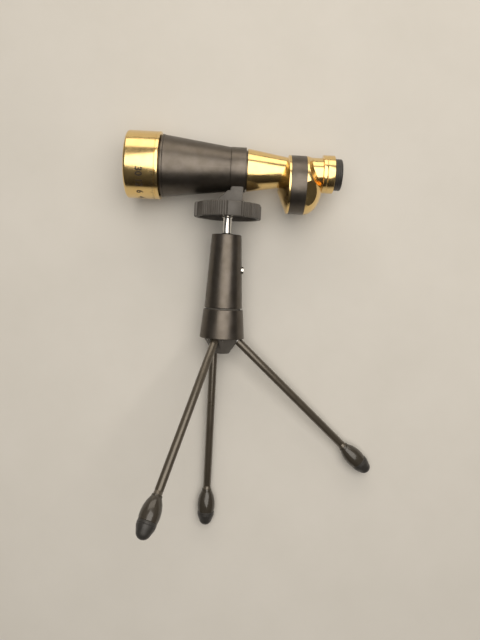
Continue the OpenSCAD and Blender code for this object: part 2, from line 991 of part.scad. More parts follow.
module leg_collar() {
  color("#2c2a2a")
    laid_down()
      column_turned([
        [core_r, leg_collar_top],
        [leg_collar_top_r - edge, leg_collar_top],
        [leg_collar_top_r, leg_collar_top - edge],
        [leg_collar_bottom_r, leg_collar_bottom + edge],
        [leg_collar_bottom_r - edge, leg_collar_bottom],
        [leg_chamber_r, leg_collar_bottom],
        [leg_chamber_r, leg_chamber_top],
        [core_r, leg_chamber_top]
      ]);
}

module leg_hub() {
  color("#404042")
    laid_down()
      difference() {
        column_turned([
          [0, hub_bottom],
          [hub_tip_r - edge, hub_bottom],
          [hub_tip_r, hub_bottom + edge],
          [hub_top_r, leg_collar_bottom],
          [leg_chamber_r, leg_collar_bottom],
          [leg_chamber_r, leg_chamber_top],
          [0, leg_chamber_top]
        ]);
        for (i = [0 : 2])
          rotate([0, 0, tripod_turn + i * LEG_PITCH]) {
            translate([slot_floor_r, -slot_half_w, hub_bottom - past])
              cube([leg_collar_bottom_r, 2 * slot_half_w, leg_chamber_top - hub_bottom + 2 * past]);
            translate([pivot_r, pin_half_len, pivot_z])
              rotate([90, 0, 0])
                cylinder(h = 2 * pin_half_len, r = pin_r);
          }
        translate([0, 0, hub_bottom - past])
          cylinder(h = hub_screw_head_t + past, r = hub_screw_head_r);
        translate([0, 0, hub_bottom])
          cylinder(h = leg_chamber_top - hub_bottom + past, r = hub_screw_r);
      }
}

module hub_screw() {
  color("#9a9c9e")
    laid_down()
      union() {
        translate([0, 0, hub_bottom + 0.4])
          cylinder(h = hub_screw_head_t - 0.4, r = hub_screw_head_r);
        translate([0, 0, hub_bottom + 0.4])
          cylinder(h = hub_screw_top - hub_bottom - 0.4, r = hub_screw_r);
      }
}

// One leg: a rod with a round eye that the pivot pin goes through
module leg_rod(i) {
  color("#18181a")
    laid_down()
      on_pivot(i)
        difference() {
          union() {
            sphere(rod_r);
            translate([0, 0, -rod_end])
              cylinder(h = rod_end, r = rod_r);
          }
          rotate([90, 0, 0])
            cylinder(h = 4 * rod_r, r = pin_r + running, center = true);
        }
}

// The tapered ferrule between a rod and its rubber tip
module foot_ferrule(i) {
  color("#101012")
    laid_down()
      on_pivot(i)
        column_turned([
          [rod_r, -rod_len],
          [ankle_r, -rod_len],
          [foot_tip_r, -ferrule_end],
          [tip_plug_r, -ferrule_end],
          [tip_plug_r, -ferrule_end - tip_plug_len],
          [0, -ferrule_end - tip_plug_len],
          [0, -rod_end],
          [rod_r, -rod_end]
        ]);
}

// The rubber tip of a foot, with a pocket for the ferrule's plug
module foot_tip(i) {
  color("#1c1c1c")
    laid_down()
      on_pivot(i)
        difference() {
          union() {
            translate([0, 0, -tip_centre])
              sphere(foot_tip_r);
            translate([0, 0, -tip_centre])
              cylinder(h = tip_len, r = foot_tip_r);
          }
          translate([0, 0, -ferrule_end])
            cylinder(h = 2 * foot_tip_r, r = foot_tip_r + past);
          translate([0, 0, -ferrule_end - tip_plug_len])
            cylinder(h = tip_plug_len + past, r = tip_plug_r);
        }
}

// The pin that a leg swings on
module pivot_pin(i) {
  color("#a8aaac")
    laid_down()
      rotate([0, 0, tripod_turn + i * LEG_PITCH])
        translate([pivot_r, pin_half_len, pivot_z])
          rotate([90, 0, 0])
            cylinder(h = 2 * pin_half_len, r = pin_r);
}

focus_ring();
objective_cell();
crown_lens();
flint_lens();
lens_retainer();
trim_ring();
barrel();
baffle_tube();
mount_collar();
mount_foot();
foot_insert();
tapered_tube();
prism_front_cap();
prism_band();
prism_rear_cap();
half_prism();
roof_prism();
prism_frame();
frame_screws();
eyepiece_tube();
eyepiece_ring();
field_lens();
field_stop();
eye_lens();
eye_retainer();
eyecup();
lock_wheel();
wheel_insert();
ball_stud();
ball_pad();
disc_springs();
clamp_sleeve();
stop_screw();
core_post();
thrust_washer();
leg_collar();
leg_hub();
hub_screw();
for (i = [0 : 2]) {
  leg_rod(i);
  foot_ferrule(i);
  foot_tip(i);
  pivot_pin(i);
}
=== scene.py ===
"""Looks of a pocket spotting scope on a folding table tripod, lying on its side.

Every piece is modelled upright, in millimetres turned to metres: the optical
axis is X, the tripod column is Z and the two cross at the origin. Upright then
lays the piece down where the CAD frame has it.
"""
import json
import logging
import math
from collections.abc import Callable, Iterator, Sequence
from contextlib import contextmanager
from dataclasses import dataclass, field
from enum import Enum

import bmesh
import bpy
from mathutils import Matrix, Vector

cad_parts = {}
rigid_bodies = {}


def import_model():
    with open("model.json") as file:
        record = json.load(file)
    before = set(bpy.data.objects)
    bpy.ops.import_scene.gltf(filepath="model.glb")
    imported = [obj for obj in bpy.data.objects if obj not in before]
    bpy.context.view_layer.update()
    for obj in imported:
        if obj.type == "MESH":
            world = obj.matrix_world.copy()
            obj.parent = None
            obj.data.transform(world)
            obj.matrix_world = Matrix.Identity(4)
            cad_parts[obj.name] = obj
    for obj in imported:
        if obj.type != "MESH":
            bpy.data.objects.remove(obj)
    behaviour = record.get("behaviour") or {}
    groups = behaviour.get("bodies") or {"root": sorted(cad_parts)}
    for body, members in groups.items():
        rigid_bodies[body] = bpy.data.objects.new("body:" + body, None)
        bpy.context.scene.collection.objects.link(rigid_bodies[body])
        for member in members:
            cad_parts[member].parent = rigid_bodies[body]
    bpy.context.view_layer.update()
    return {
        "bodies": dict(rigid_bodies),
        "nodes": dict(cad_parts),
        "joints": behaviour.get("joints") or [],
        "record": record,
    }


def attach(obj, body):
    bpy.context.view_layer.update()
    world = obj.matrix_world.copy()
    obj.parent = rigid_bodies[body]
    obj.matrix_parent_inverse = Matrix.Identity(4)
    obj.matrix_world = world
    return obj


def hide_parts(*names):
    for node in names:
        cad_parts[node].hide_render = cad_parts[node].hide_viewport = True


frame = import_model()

MM = 0.001
TINY = 1e-6
LOG = logging.getLogger("spotting_scope")

# Lays what is turned about Z along the scope
ALONG_X = Matrix.Rotation(math.pi / 2, 4, "Y")
# Lays what is turned about Z across the scope
ALONG_Y = Matrix.Rotation(math.pi / 2, 4, "X")
# How far a cutting tool reaches past what it cuts, in mm
PAST = 1

Outline = Sequence[tuple[float, float]]
Place3 = tuple[float, float, float]
Piece = bpy.types.Object
Tree = bpy.types.NodeTree
Socket = bpy.types.NodeSocket


class Axis(Enum):
    """Directions that a surface's tool marks run round."""

    OPTICAL = "optical"
    COLUMN = "column"
    LEG_RIGHT = "right"
    LEG_MIDDLE = "middle"
    LEG_LEFT = "left"


# ---------------------------------------------------------------- placing

class Upright:
    """The upright drawing frame, found from the CAD's own joints."""

    def __init__(self, cad: dict) -> None:
        """Reads the column axis and the optical axis from the joints.
        """
        self.nodes = cad["nodes"]
        self.joints = {joint["name"]: joint for joint in cad["joints"]}
        column, optical = self.joints["sleeve_turn"], self.joints["focus_turn"]
        up = Vector(column["axis"]).normalized()
        along = Vector(optical["axis"]).normalized()
        across = up.cross(along).normalized()
        origin = Vector((column["pos_m"][0], optical["pos_m"][1], optical["pos_m"][2]))
        turn = Matrix((along, across, up)).transposed().to_4x4()
        self.world = Matrix.Translation(origin) @ turn
        self.upright = self.world.inverted()

    def span(self, node: str, axis: int) -> tuple[float, float]:
        """Lowest and highest place of a CAD node along one upright axis.

        Args:
            node: name of the CAD node.
            axis: 0 along the scope, 1 across it, 2 up the column.

        Returns:
            The two places, in millimetres.
        """
        places = [(self.upright @ vert.co)[axis] / MM for vert in self.nodes[node].data.vertices]
        return min(places), max(places)

    def optical(self, drop: float = 0) -> Matrix:
        """Lays a piece turned about Z on the optical axis, or drop mm below it."""
        return self.world @ Matrix.Translation((0, 0, -drop * MM)) @ ALONG_X

    def azimuth(self, side: str) -> Matrix:
        """Turns a leg's own frame about the column to the side that the leg is on.

        Args:
            side: right, middle or left.

        Returns:
            The rotation about the column.
        """
        axis = self.upright.to_3x3() @ Vector(self.joints[f"leg_{side}_fold"]["axis"])
        return Matrix.Rotation(math.atan2(axis.x, -axis.y), 4, "Z")

    def pivot(self, side: str) -> Matrix:
        """Moves a leg's own frame to its pivot, upright."""
        return Matrix.Translation(self.upright @ Vector(self.joints[f"leg_{side}_fold"]["pos_m"]))

    def leg(self, side: str) -> Matrix:
        """Puts a leg's pieces on its pivot, pointing down along -Z before the splay.

        Args:
            side: right, middle or left.

        Returns:
            The matrix from the leg's own frame to the laid-down frame.
        """
        joint = self.joints[f"leg_{side}_fold"]
        folded = math.radians(joint["range_deg"][0])
        return self.world @ self.pivot(side) @ self.azimuth(side) @ Matrix.Rotation(folded, 4, "Y")

    def direction(self, axis: Axis) -> Vector:
        """Unit vector of an axis in the laid-down frame."""
        if axis is Axis.OPTICAL:
            return self.world.to_3x3() @ Vector((1, 0, 0))
        if axis is Axis.COLUMN:
            return self.world.to_3x3() @ Vector((0, 0, 1))
        return self.leg(axis.value).to_3x3() @ Vector((0, 0, 1))


# ---------------------------------------------------------------- modelling

def choose(piece: Piece) -> None:
    """Selects one object and nothing else."""
    bpy.ops.object.select_all(action="DESELECT")
    piece.select_set(True)
    bpy.context.view_layer.objects.active = piece


@contextmanager
def editing(piece: Piece) -> Iterator[None]:
    """Edit mode on one piece, with nothing in it selected.

    Args:
        piece: the object to shape.
    """
    choose(piece)
    bpy.ops.object.mode_set(mode="EDIT")
    bpy.ops.mesh.select_mode(type="VERT")
    bpy.ops.mesh.select_all(action="DESELECT")
    yield
    bpy.ops.object.mode_set(mode="OBJECT")


def pick(piece: Piece, wanted: Callable[[bmesh.types.BMVert], bool]) -> None:
    """Selects the vertices that a test wants, in edit mode.

    Args:
        piece: the object in edit mode.
        wanted: says whether a vertex is selected.
    """
    mesh = bmesh.from_edit_mesh(piece.data)
    for vert in mesh.verts:
        vert.select = wanted(vert)
    mesh.select_flush_mode()
    bmesh.update_edit_mesh(piece.data)


def outward(piece: Piece) -> None:
    """Merges doubles and turns every face outwards."""
    with editing(piece):
        bpy.ops.mesh.select_all(action="SELECT")
        bpy.ops.mesh.remove_doubles(threshold=1e-7)
        bpy.ops.mesh.normals_make_consistent(inside=False)


# A corner flatter than this is left as it is
ALMOST_STRAIGHT = math.radians(165)
# The most of an edge that one corner's rounding takes
CORNER_SHARE = 0.45


def softened(outline: Outline, radius: float, steps: int = 3) -> list[tuple[float, float]]:
    """Rounds the corners of a closed outline, as a deburring cut does.

    Args:
        outline: [radius, station] points, in mm.
        radius: how far the rounding reaches from each corner, in mm.
        steps: points in each rounding, less one.

    Returns:
        The outline with its sharp corners rounded.
    """
    points = [Vector(point) for point in outline]
    result: list[tuple[float, float]] = []
    for k, corner in enumerate(points):
        before, after = points[k - 1] - corner, points[(k + 1) % len(points)] - corner
        on_axis = corner.x < TINY
        flat = min(before.length, after.length) < TINY or before.angle(after) > ALMOST_STRAIGHT
        if on_axis or flat:
            result.append(tuple(corner))
            continue
        start = corner + before.normalized() * min(radius, before.length * CORNER_SHARE)
        end = corner + after.normalized() * min(radius, after.length * CORNER_SHARE)
        for step in range(steps + 1):
            t = step / steps
            result.append(tuple(start * (1 - t) ** 2 + corner * 2 * t * (1 - t) + end * t ** 2))
    return result


def turned(name: str, outline: Outline, segments: int = 128) -> Piece:
    """Turns a closed outline about Z: a circle extruded and scaled station by station.

    Args:
        name: name of the piece.
        outline: [radius, station] points in mm; a zero radius closes an end.
        segments: sides of the circle.

    Returns:
        The closed solid, still upright about Z.
    """
    first_pole = outline[0] if outline[0][0] < TINY else None
    last_pole = outline[-1] if outline[-1][0] < TINY else None
    rings = [point for point in outline if point[0] >= TINY]
    bpy.ops.object.select_all(action="DESELECT")
    bpy.ops.mesh.primitive_circle_add(vertices=segments, radius=rings[0][0] * MM,
                                      location=(0, 0, rings[0][1] * MM))
    piece = bpy.context.object
    piece.name = piece.data.name = name
    bpy.ops.object.transform_apply(location=True, rotation=False, scale=False)
    with editing(piece):
        bpy.ops.mesh.select_all(action="SELECT")
        for (radius, station), (next_radius, next_station) in zip(rings, rings[1:]):
            climb = (0, 0, (next_station - station) * MM)
            bpy.ops.mesh.extrude_region_move(TRANSFORM_OT_translate={"value": climb})
            scale = next_radius / radius
            if scale != 1:
                bpy.ops.transform.resize(value=(scale, scale, 1), center_override=(0, 0, next_station * MM))
        count = len(rings) * segments
        if last_pole:
            bpy.ops.mesh.extrude_region_move(
                TRANSFORM_OT_translate={"value": (0, 0, (last_pole[1] - rings[-1][1]) * MM)})
            bpy.ops.mesh.merge(type="CENTER")
        if first_pole:
            pick(piece, lambda vert: vert.index < segments)
            bpy.ops.mesh.extrude_region_move(
                TRANSFORM_OT_translate={"value": (0, 0, (first_pole[1] - rings[0][1]) * MM)})
            bpy.ops.mesh.merge(type="CENTER")
        if not first_pole and not last_pole:
            pick(piece, lambda vert: vert.index < segments or vert.index >= count - segments)
            bpy.ops.mesh.bridge_edge_loops()
    outward(piece)
    return piece


def block(name: str, low: Sequence[float], high: Sequence[float]) -> Piece:
    """A box between two corners, in mm, for shaping further or for cutting with."""
    middle = [(a + b) / 2 * MM for a, b in zip(low, high)]
    size = [(b - a) * MM for a, b in zip(low, high)]
    bpy.ops.object.select_all(action="DESELECT")
    bpy.ops.mesh.primitive_cube_add(size=1, location=middle, scale=size)
    piece = bpy.context.object
    piece.name = piece.data.name = name
    bpy.ops.object.transform_apply(location=True, rotation=True, scale=True)
    return piece


def moved(piece: Piece, matrix: Matrix) -> Piece:
    """Puts a piece in place and applies its place to its mesh."""
    choose(piece)
    piece.matrix_world = matrix
    bpy.ops.object.transform_apply(location=True, rotation=True, scale=True)
    return piece


def joined(piece: Piece, tool: Piece, how: str) -> Piece:
    """Cuts a piece with a tool body, or unites the two, and removes the tool.

    Args:
        piece: the object that stays.
        tool: the body to cut or unite with.
        how: DIFFERENCE, UNION or INTERSECT.

    Returns:
        The piece.
    """
    choose(piece)
    modifier = piece.modifiers.new("join", "BOOLEAN")
    modifier.operation, modifier.solver, modifier.object = how, "EXACT", tool
    bpy.ops.object.modifier_apply(modifier=modifier.name)
    bpy.data.objects.remove(tool)
    return piece


def drilled(piece: Piece, radius: float, low: float, high: float, place: Matrix = Matrix(),
            segments: int = 128) -> Piece:
    """Cuts a round hole.

    Args:
        piece: the object.
        radius: radius of the hole, in mm.
        low: where the hole starts along Z, in mm.
        high: where it ends.
        place: lays the hole where it goes.
        segments: sides of the hole.

    Returns:
        The piece.
    """
    tool = turned("hole", [(0, low), (radius, low), (radius, high), (0, high)], segments)
    return joined(piece, moved(tool, place), "DIFFERENCE")


def eased(piece: Piece, width: float, segments: int = 2, angle: float = 35) -> Piece:
    """Rounds the sharp edges of a piece.

    Args:
        piece: the object.
        width: width of the rounding, in mm.
        segments: steps in the rounding.
        angle: an edge sharper than this many degrees is rounded.

    Returns:
        The piece.
    """
    choose(piece)
    modifier = piece.modifiers.new("ease", "BEVEL")
    modifier.width, modifier.segments = width * MM, segments
    modifier.limit_method, modifier.angle_limit = "ANGLE", math.radians(angle)
    bpy.ops.object.modifier_apply(modifier=modifier.name)
    return piece


def sliced(piece: Piece, point: Sequence[float], normal: Sequence[float]) -> Piece:
    """Cuts away what lies beyond a plane and closes the cut with a flat.

    Args:
        piece: the object, upright.
        point: a point on the plane, in mm.
        normal: direction of what is cut away.

    Returns:
        The piece.
    """
    with editing(piece):
        bpy.ops.mesh.select_all(action="SELECT")
        bpy.ops.mesh.bisect(plane_co=[value * MM for value in point], plane_no=normal,
                            use_fill=True, clear_outer=True)
    return piece


def arc(centre: tuple[float, float], radius: float, start: float, end: float,
        steps: int = 10) -> list[tuple[float, float]]:
    """Points of an arc in an outline.

    Args:
        centre: [radius, station] of its centre, in mm.
        radius: its radius, in mm.
        start: first angle in degrees, from the radial direction towards +station.
        end: last angle in degrees.
        steps: points, less one.

    Returns:
        The points.
    """
    turns = [math.radians(start + (end - start) * k / steps) for k in range(steps + 1)]
    return [(max(centre[0] + radius * math.cos(a), 0.0), centre[1] + radius * math.sin(a)) for a in turns]


def grooves(radius: float, start: float, end: float, pitch: float, depth: float) -> list[tuple[float, float]]:
    """V-shaped rings cut side by side, such as a thread's.

    Args:
        radius: crest radius in mm, of a shaft or, with a negative depth, a bore.
        start: first station.
        end: last station.
        pitch: distance from crest to crest.
        depth: depth of the V.

    Returns:
        Points of the outline from start to end.
    """
    count = max(int(abs(end - start) / pitch), 1)
    step = (end - start) / count
    points = []
    for k in range(count):
        here = start + k * step
        points += [(radius, here), (radius, here + step * 0.15), (radius - depth, here + step * 0.55),
                   (radius - depth, here + step * 0.65)]
    return points + [(radius, end)]


# ---------------------------------------------------------------- finishes

def linear(hex_colour: str) -> tuple[float, float, float, float]:
    """An sRGB hex colour as linear RGBA."""
    values = [int(hex_colour[k:k + 2], 16) / 255 for k in (1, 3, 5)]
    return (*[v / 12.92 if v <= 0.04045 else ((v + 0.055) / 1.055) ** 2.4 for v in values], 1.0)


def add_node(tree: Tree, kind: str, settings: dict | None = None,
             links: dict | None = None) -> bpy.types.Node:
    """Adds a node with its settings and its incoming links.

    Args:
        tree: the node tree.
        kind: the node's type name.
        settings: attributes, or input sockets by name or number, with their values.
        links: input sockets by name or number, with the output sockets that feed them.

    Returns:
        The new node.
    """
    node = tree.nodes.new(kind)
    for key, value in (settings or {}).items():
        if isinstance(key, str) and hasattr(node, key):
            setattr(node, key, value)
        else:
            node.inputs[key].default_value = value
    for key, source in (links or {}).items():
        tree.links.new(source, node.inputs[key])
    return node


def noise(tree: Tree, size_mm: float, place: Socket, detail: float,
          **settings: float) -> Socket:
    """Adds a noise texture.

    Args:
        tree: the node tree.
        size_mm: size of one cloud, in mm.
        place: the coordinates.
        detail: how many finer layers lie on it.
        settings: its other input sockets.

    Returns:
        Its value.
    """
    return add_node(tree, "ShaderNodeTexNoise", {"Scale": 1 / (size_mm * MM), "Detail": detail, **settings},
                    {"Vector": place}).outputs["Fac"]


def ranged(tree: Tree, value: Socket, source: tuple[float, float],
           target: tuple[float, float] = (0, 1)) -> Socket:
    """Maps a value from one range to another, held at the ends."""
    return add_node(tree, "ShaderNodeMapRange", {"From Min": source[0], "From Max": source[1],
                                                 "To Min": target[0], "To Max": target[1]},
                    {"Value": value}).outputs["Result"]


def blended(tree: Tree, share: Socket, settings: dict,
            links: dict | None = None) -> Socket:
    """Mixes two colours, set or linked at sockets 6 and 7."""
    links = {0: share, **(links or {})}
    return add_node(tree, "ShaderNodeMix", {"data_type": "RGBA", **settings}, links).outputs[2]


# Sizes, in mm, of the nicks on worn edges, of handling smears and of fine scuffs
NICK_MM = 0.9
SMEAR_MM = 7
SCUFF_MM = 0.35
# Which part of each pattern's own range shows
CLOUD_RANGE = (0.35, 0.7)
EDGE_RANGE = (0.53, 0.62)
SMEAR_RANGE = (0.3, 0.7)
SCUFF_RANGE = (0.62, 0.74)
# No surface is glossier than this
LEAST_ROUGHNESS = 0.02
# How strongly the grain and the tool marks show in the light
GRAIN_STRENGTH = 0.6
MARKS_STRENGTH = 0.7


@dataclass(frozen=True)
class Finish:
    """A surface: what the stuff is, how it was made, and how it has worn.

    Colours are sRGB hex. The base colour mottles towards second, edges and
    scuffs show rubbed, and marks run round the piece's own axis.
    """

    name: str
    base: str
    second: str
    rubbed: str
    roughness: float
    metallic: float = 0.0
    mottle_mm: float = 4.0
    mottle: float = 0.5
    rough_swing: float = 0.08
    grain_mm: float = 0.25
    grain_depth_mm: float = 0.004
    marks_mm: float = 0.0
    marks_depth_mm: float = 0.0
    wear: float = 0.5
    settings: dict = field(default_factory=dict)

    def material(self, axis: Axis, direction: Vector) -> bpy.types.Material:
        """Builds the material, once for each axis.

        Args:
            axis: the axis that its tool marks run round.
            direction: unit vector of that axis, in the laid-down frame.

        Returns:
            The material.
        """
        title = self.name if not self.marks_mm else f"{self.name}, {axis.value}"
        if title in bpy.data.materials:
            return bpy.data.materials[title]
        material = bpy.data.materials.new(title)
        material.use_nodes = True
        tree = material.node_tree
        shader = tree.nodes["Principled BSDF"]
        shader.inputs["Metallic"].default_value = self.metallic
        for socket, value in self.settings.items():
            shader.inputs[socket].default_value = value
        place = add_node(tree, "ShaderNodeTexCoord").outputs["Object"]
        self._colour(tree, shader, place)
        self._roughness(tree, shader, place)
        self._relief(tree, shader, place, direction)
        return material

    def _colour(self, tree: Tree, shader: bpy.types.Node, place: Socket) -> None:
        """Mottles the colour and shows rubbed edges.

        Args:
            tree: the material's nodes.
            shader: its Principled node.
            place: Object coordinates.
        """
        cloud = noise(tree, self.mottle_mm, place, 4, Roughness=0.6)
        mixed = blended(tree, ranged(tree, cloud, CLOUD_RANGE, (0, self.mottle)),
                        {6: linear(self.base), 7: linear(self.second)})
        edge = add_node(tree, "ShaderNodeNewGeometry").outputs["Pointiness"]
        edges = ranged(tree, edge, EDGE_RANGE, (0, self.wear))
        worn = add_node(tree, "ShaderNodeMath", {"operation": "MULTIPLY", "use_clamp": True},
                        {0: edges, 1: noise(tree, NICK_MM, place, 3)})
        final = blended(tree, worn.outputs["Value"], {7: linear(self.rubbed)}, {6: mixed})
        tree.links.new(final, shader.inputs["Base Color"])

    def _roughness(self, tree: Tree, shader: bpy.types.Node, place: Socket) -> None:
        """Varies the gloss with handling marks and fine scuffs.

        Args:
            tree: the material's nodes.
            shader: its Principled node.
            place: Object coordinates.
        """
        stretched = add_node(tree, "ShaderNodeMapping", {"Rotation": (0.5, 0.9, 0.3), "Scale": (1, 0.06, 1)},
                             {"Vector": place})
        smears = (max(self.roughness - self.rough_swing, LEAST_ROUGHNESS), self.roughness + self.rough_swing)
        broad = ranged(tree, noise(tree, SMEAR_MM, place, 5, Distortion=0.8), SMEAR_RANGE, smears)
        scuff = noise(tree, SCUFF_MM, stretched.outputs["Vector"], 2)
        fine = ranged(tree, scuff, SCUFF_RANGE, (0, self.rough_swing))
        total = add_node(tree, "ShaderNodeMath", {"operation": "ADD", "use_clamp": True}, {0: broad, 1: fine})
        tree.links.new(total.outputs["Value"], shader.inputs["Roughness"])

    def _relief(self, tree: Tree, shader: bpy.types.Node, place: Socket,
                direction: Vector) -> None:
        """Gives the surface its grain and its tool marks.

        Args:
            tree: the material's nodes.
            shader: its Principled node.
            place: Object coordinates.
            direction: unit vector of the axis that the marks run round.
        """
        relief = add_node(tree, "ShaderNodeBump",
                          {"Strength": GRAIN_STRENGTH, "Distance": self.grain_depth_mm * MM},
                          {"Height": noise(tree, self.grain_mm, place, 3)})
        if self.marks_mm:
            along = add_node(tree, "ShaderNodeVectorMath",
                             {"operation": "DOT_PRODUCT", 1: direction}, {0: place})
            lines = add_node(tree, "ShaderNodeTexNoise",
                             {"noise_dimensions": "1D", "Scale": 1 / (self.marks_mm * MM), "Detail": 3},
                             {"W": along.outputs["Value"]})
            relief = add_node(tree, "ShaderNodeBump",
                              {"Strength": MARKS_STRENGTH, "Distance": self.marks_depth_mm * MM},
                              {"Height": lines.outputs["Fac"], "Normal": relief.outputs["Normal"]})
        tree.links.new(relief.outputs["Normal"], shader.inputs["Normal"])


# Polished aluminium under a gold dye: a clear yellow mirror with fine lathe lines
GOLD = Finish("Gold anodised aluminium", "#ecce90", "#e4c07a", "#f8eac4", 0.19, 1.0, 6.0, 0.5, 0.05,
              0.3, 0.0015, 0.12, 0.0025, 0.5)
# Aluminium blasted before its black dye: a wide warm-grey sheen, dark off the light
BLACK_ANODISED = Finish("Black anodised aluminium", "#66605a", "#585249", "#8d867f", 0.37, 0.95, 5.0, 0.6,
                        0.06, 0.16, 0.006, 0.2, 0.002, 0.2)
# Flat paint inside an optical tube: it swallows light and shows only its grain
FLAT_BLACK = Finish("Flat black inner paint", "#111010", "#191817", "#2a2826", 0.8, 0.0, 3.0, 0.6, 0.08,
                    0.12, 0.01, wear=0.2)
# Brushed-on enamel over steel rod: deep black with a narrow bright line
ENAMEL = Finish("Black enamelled steel", "#5b5347", "#4c453b", "#9a9184", 0.33, 0.5, 8.0, 0.6, 0.07,
                0.9, 0.012, 0.6, 0.003, 0.35,
                {"Coat Weight": 0.5, "Coat Roughness": 0.12, "Specular IOR Level": 0.6})
# Glass-filled nylon from a spark-eroded mould: grey-black, matt, finely grained
NYLON_BLACK = Finish("Moulded glass-filled nylon", "#57534e", "#4c4844", "#8d8880", 0.5, 0.0, 3.5, 0.6, 0.07,
                     0.2, 0.012, wear=0.45)
# Polished mould, black ABS: wet-looking gloss
GLOSS_ABS = Finish("Gloss black ABS", "#3c372f", "#322d27", "#6e675d", 0.2, 0.0, 5.0, 0.5, 0.05,
                   0.8, 0.004, wear=0.3, settings={"Coat Weight": 0.3, "Coat Roughness": 0.08})
# Moulded nitrile rubber: soft grey bloom over black, scuffed where it is touched
RUBBER = Finish("Moulded black rubber", "#262422", "#302e2b", "#55524d", 0.46, 0.0, 2.5, 0.8, 0.1,
                0.3, 0.015, wear=0.4, settings={"Sheen Weight": 0.15, "Sheen Roughness": 0.5})
# Steel buffed bright: sharp reflections, hairline turning marks
POLISHED_STEEL = Finish("Polished steel", "#e4e2de", "#d6d4cf", "#f2f1ee", 0.11, 1.0, 5.0, 0.4, 0.05,
                        0.25, 0.001, 0.15, 0.002, 0.3)
# Bright steel as it leaves the lathe
TURNED_STEEL = Finish("Turned steel", "#a9a8a6", "#949290", "#cfcdca", 0.3, 1.0, 3.0, 0.5, 0.08,
                      0.2, 0.003, 0.25, 0.006, 0.3)
# Free-cutting brass, slightly dulled
BRASS = Finish("Turned brass", "#b8924a", "#a07c3c", "#dcc07c", 0.3, 1.0, 3.0, 0.6, 0.08,
               0.2, 0.003, 0.22, 0.006, 0.4)
# Undyed nylon: creamy, with some light passing through
NATURAL_NYLON = Finish("Natural nylon", "#d9d3c4", "#cbc4b2", "#ece8dd", 0.42, 0.0, 3.0, 0.5, 0.06,
                       0.2, 0.006, wear=0.2,
                        settings={"Subsurface Weight": 0.12, "Subsurface Radius": (0.002,) * 3})
# Milled aluminium, left bare
BARE_ALUMINIUM = Finish("Machined aluminium", "#b9bbbd", "#a7a9ab", "#dadbdc", 0.34, 1.0, 4.0, 0.5, 0.08,
                        0.2, 0.004, 0.3, 0.008, 0.3)
# Polished optical glass with a thin blooming film that tints its reflection
GLASS = Finish("Coated optical glass", "#eef6f8", "#e6f1f5", "#f6fbfc", 0.04, 0.0, 9.0, 0.6, 0.02,
               2.0, 0.0003, wear=0.1,
               settings={"Transmission Weight": 1.0, "IOR": 1.52, "Coat Weight": 0.5, "Coat Roughness": 0.02,
                         "Coat Tint": (0.55, 0.85, 0.75, 1.0)})
# Screen-printed ink: flat dark brown-black, slightly uneven
INK = Finish("Printed ink", "#2a2018", "#33281e", "#5a4630", 0.5, 0.0, 1.5, 0.6, 0.08, 0.15, 0.004, wear=0.3)

# Seamless background paper: pale, warm and quite matt
PAPER = Finish("Pale studio paper", "#d3d0ca", "#cbc8c1", "#d3d0ca", 0.7, 0.0, 60.0, 0.5, 0.05, 1.2, 0.03,
               wear=0.0)

SLOT_FINISH = {
    "gold_anodised": GOLD, "black_anodised": BLACK_ANODISED, "matte_black_metal": FLAT_BLACK,
    "black_paint": ENAMEL, "grey_plastic": NYLON_BLACK, "ferrule_plastic": GLOSS_ABS, "rubber": RUBBER,
    "polished_steel": POLISHED_STEEL, "plain_steel": TURNED_STEEL, "brass": BRASS, "nylon": NATURAL_NYLON,
    "aluminium": BARE_ALUMINIUM, "optical_glass": GLASS,
}


# ---------------------------------------------------------------- assemblies

@dataclass
class Assembly:
    """Shared steps of every sub-assembly."""

    up: Upright

    def finish(self, piece: Piece, slot: str, axis: Axis, body: str, replaces: Sequence[str] = (),
               finish: Finish | None = None, smooth: float = 32) -> Piece:
        """Smooths, dresses and hands over a finished piece.

        Args:
            piece: the object, in place.
            slot: the record's material slot.
            axis: the axis of its tool marks.
            body: the CAD body that it rides on.
            replaces: the CAD nodes that it stands for.
            finish: its surface, where the slot's own isn't right.
            smooth: faces that meet at less than this many degrees are shaded smooth.

        Returns:
            The piece.
        """
        choose(piece)
        bpy.ops.object.shade_smooth_by_angle(angle=math.radians(smooth))
        surface = finish or SLOT_FINISH[slot]
        piece.data.materials.clear()
        piece.data.materials.append(surface.material(axis, self.up.direction(axis)))
        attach(piece, body)
        if replaces:
            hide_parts(*replaces)
        LOG.info("%s: %d faces, rides on %s", piece.name, len(piece.data.polygons), body)
        return piece

    def lathed(self, name: str, outline: Outline, slot: str, body: str, node: str, segments: int = 160,
               drop: float = 0, smooth: float = 32) -> None:
        """Turns a whole piece about the optical axis, or drop mm below it, and finishes it.

        Args:
            name: name of the piece.
            outline: [radius, station] points, in mm.
            slot: the record's material slot.
            body: the CAD body that it rides on.
            node: the CAD node that it stands for.
            segments: sides of the circle.
            drop: how far below the optical axis it lies, in mm.
            smooth: faces that meet at less than this many degrees are shaded smooth.
        """
        piece = moved(turned(name, outline, segments), self.up.optical(drop))
        self.finish(piece, slot, Axis.OPTICAL, body, [node], smooth=smooth)


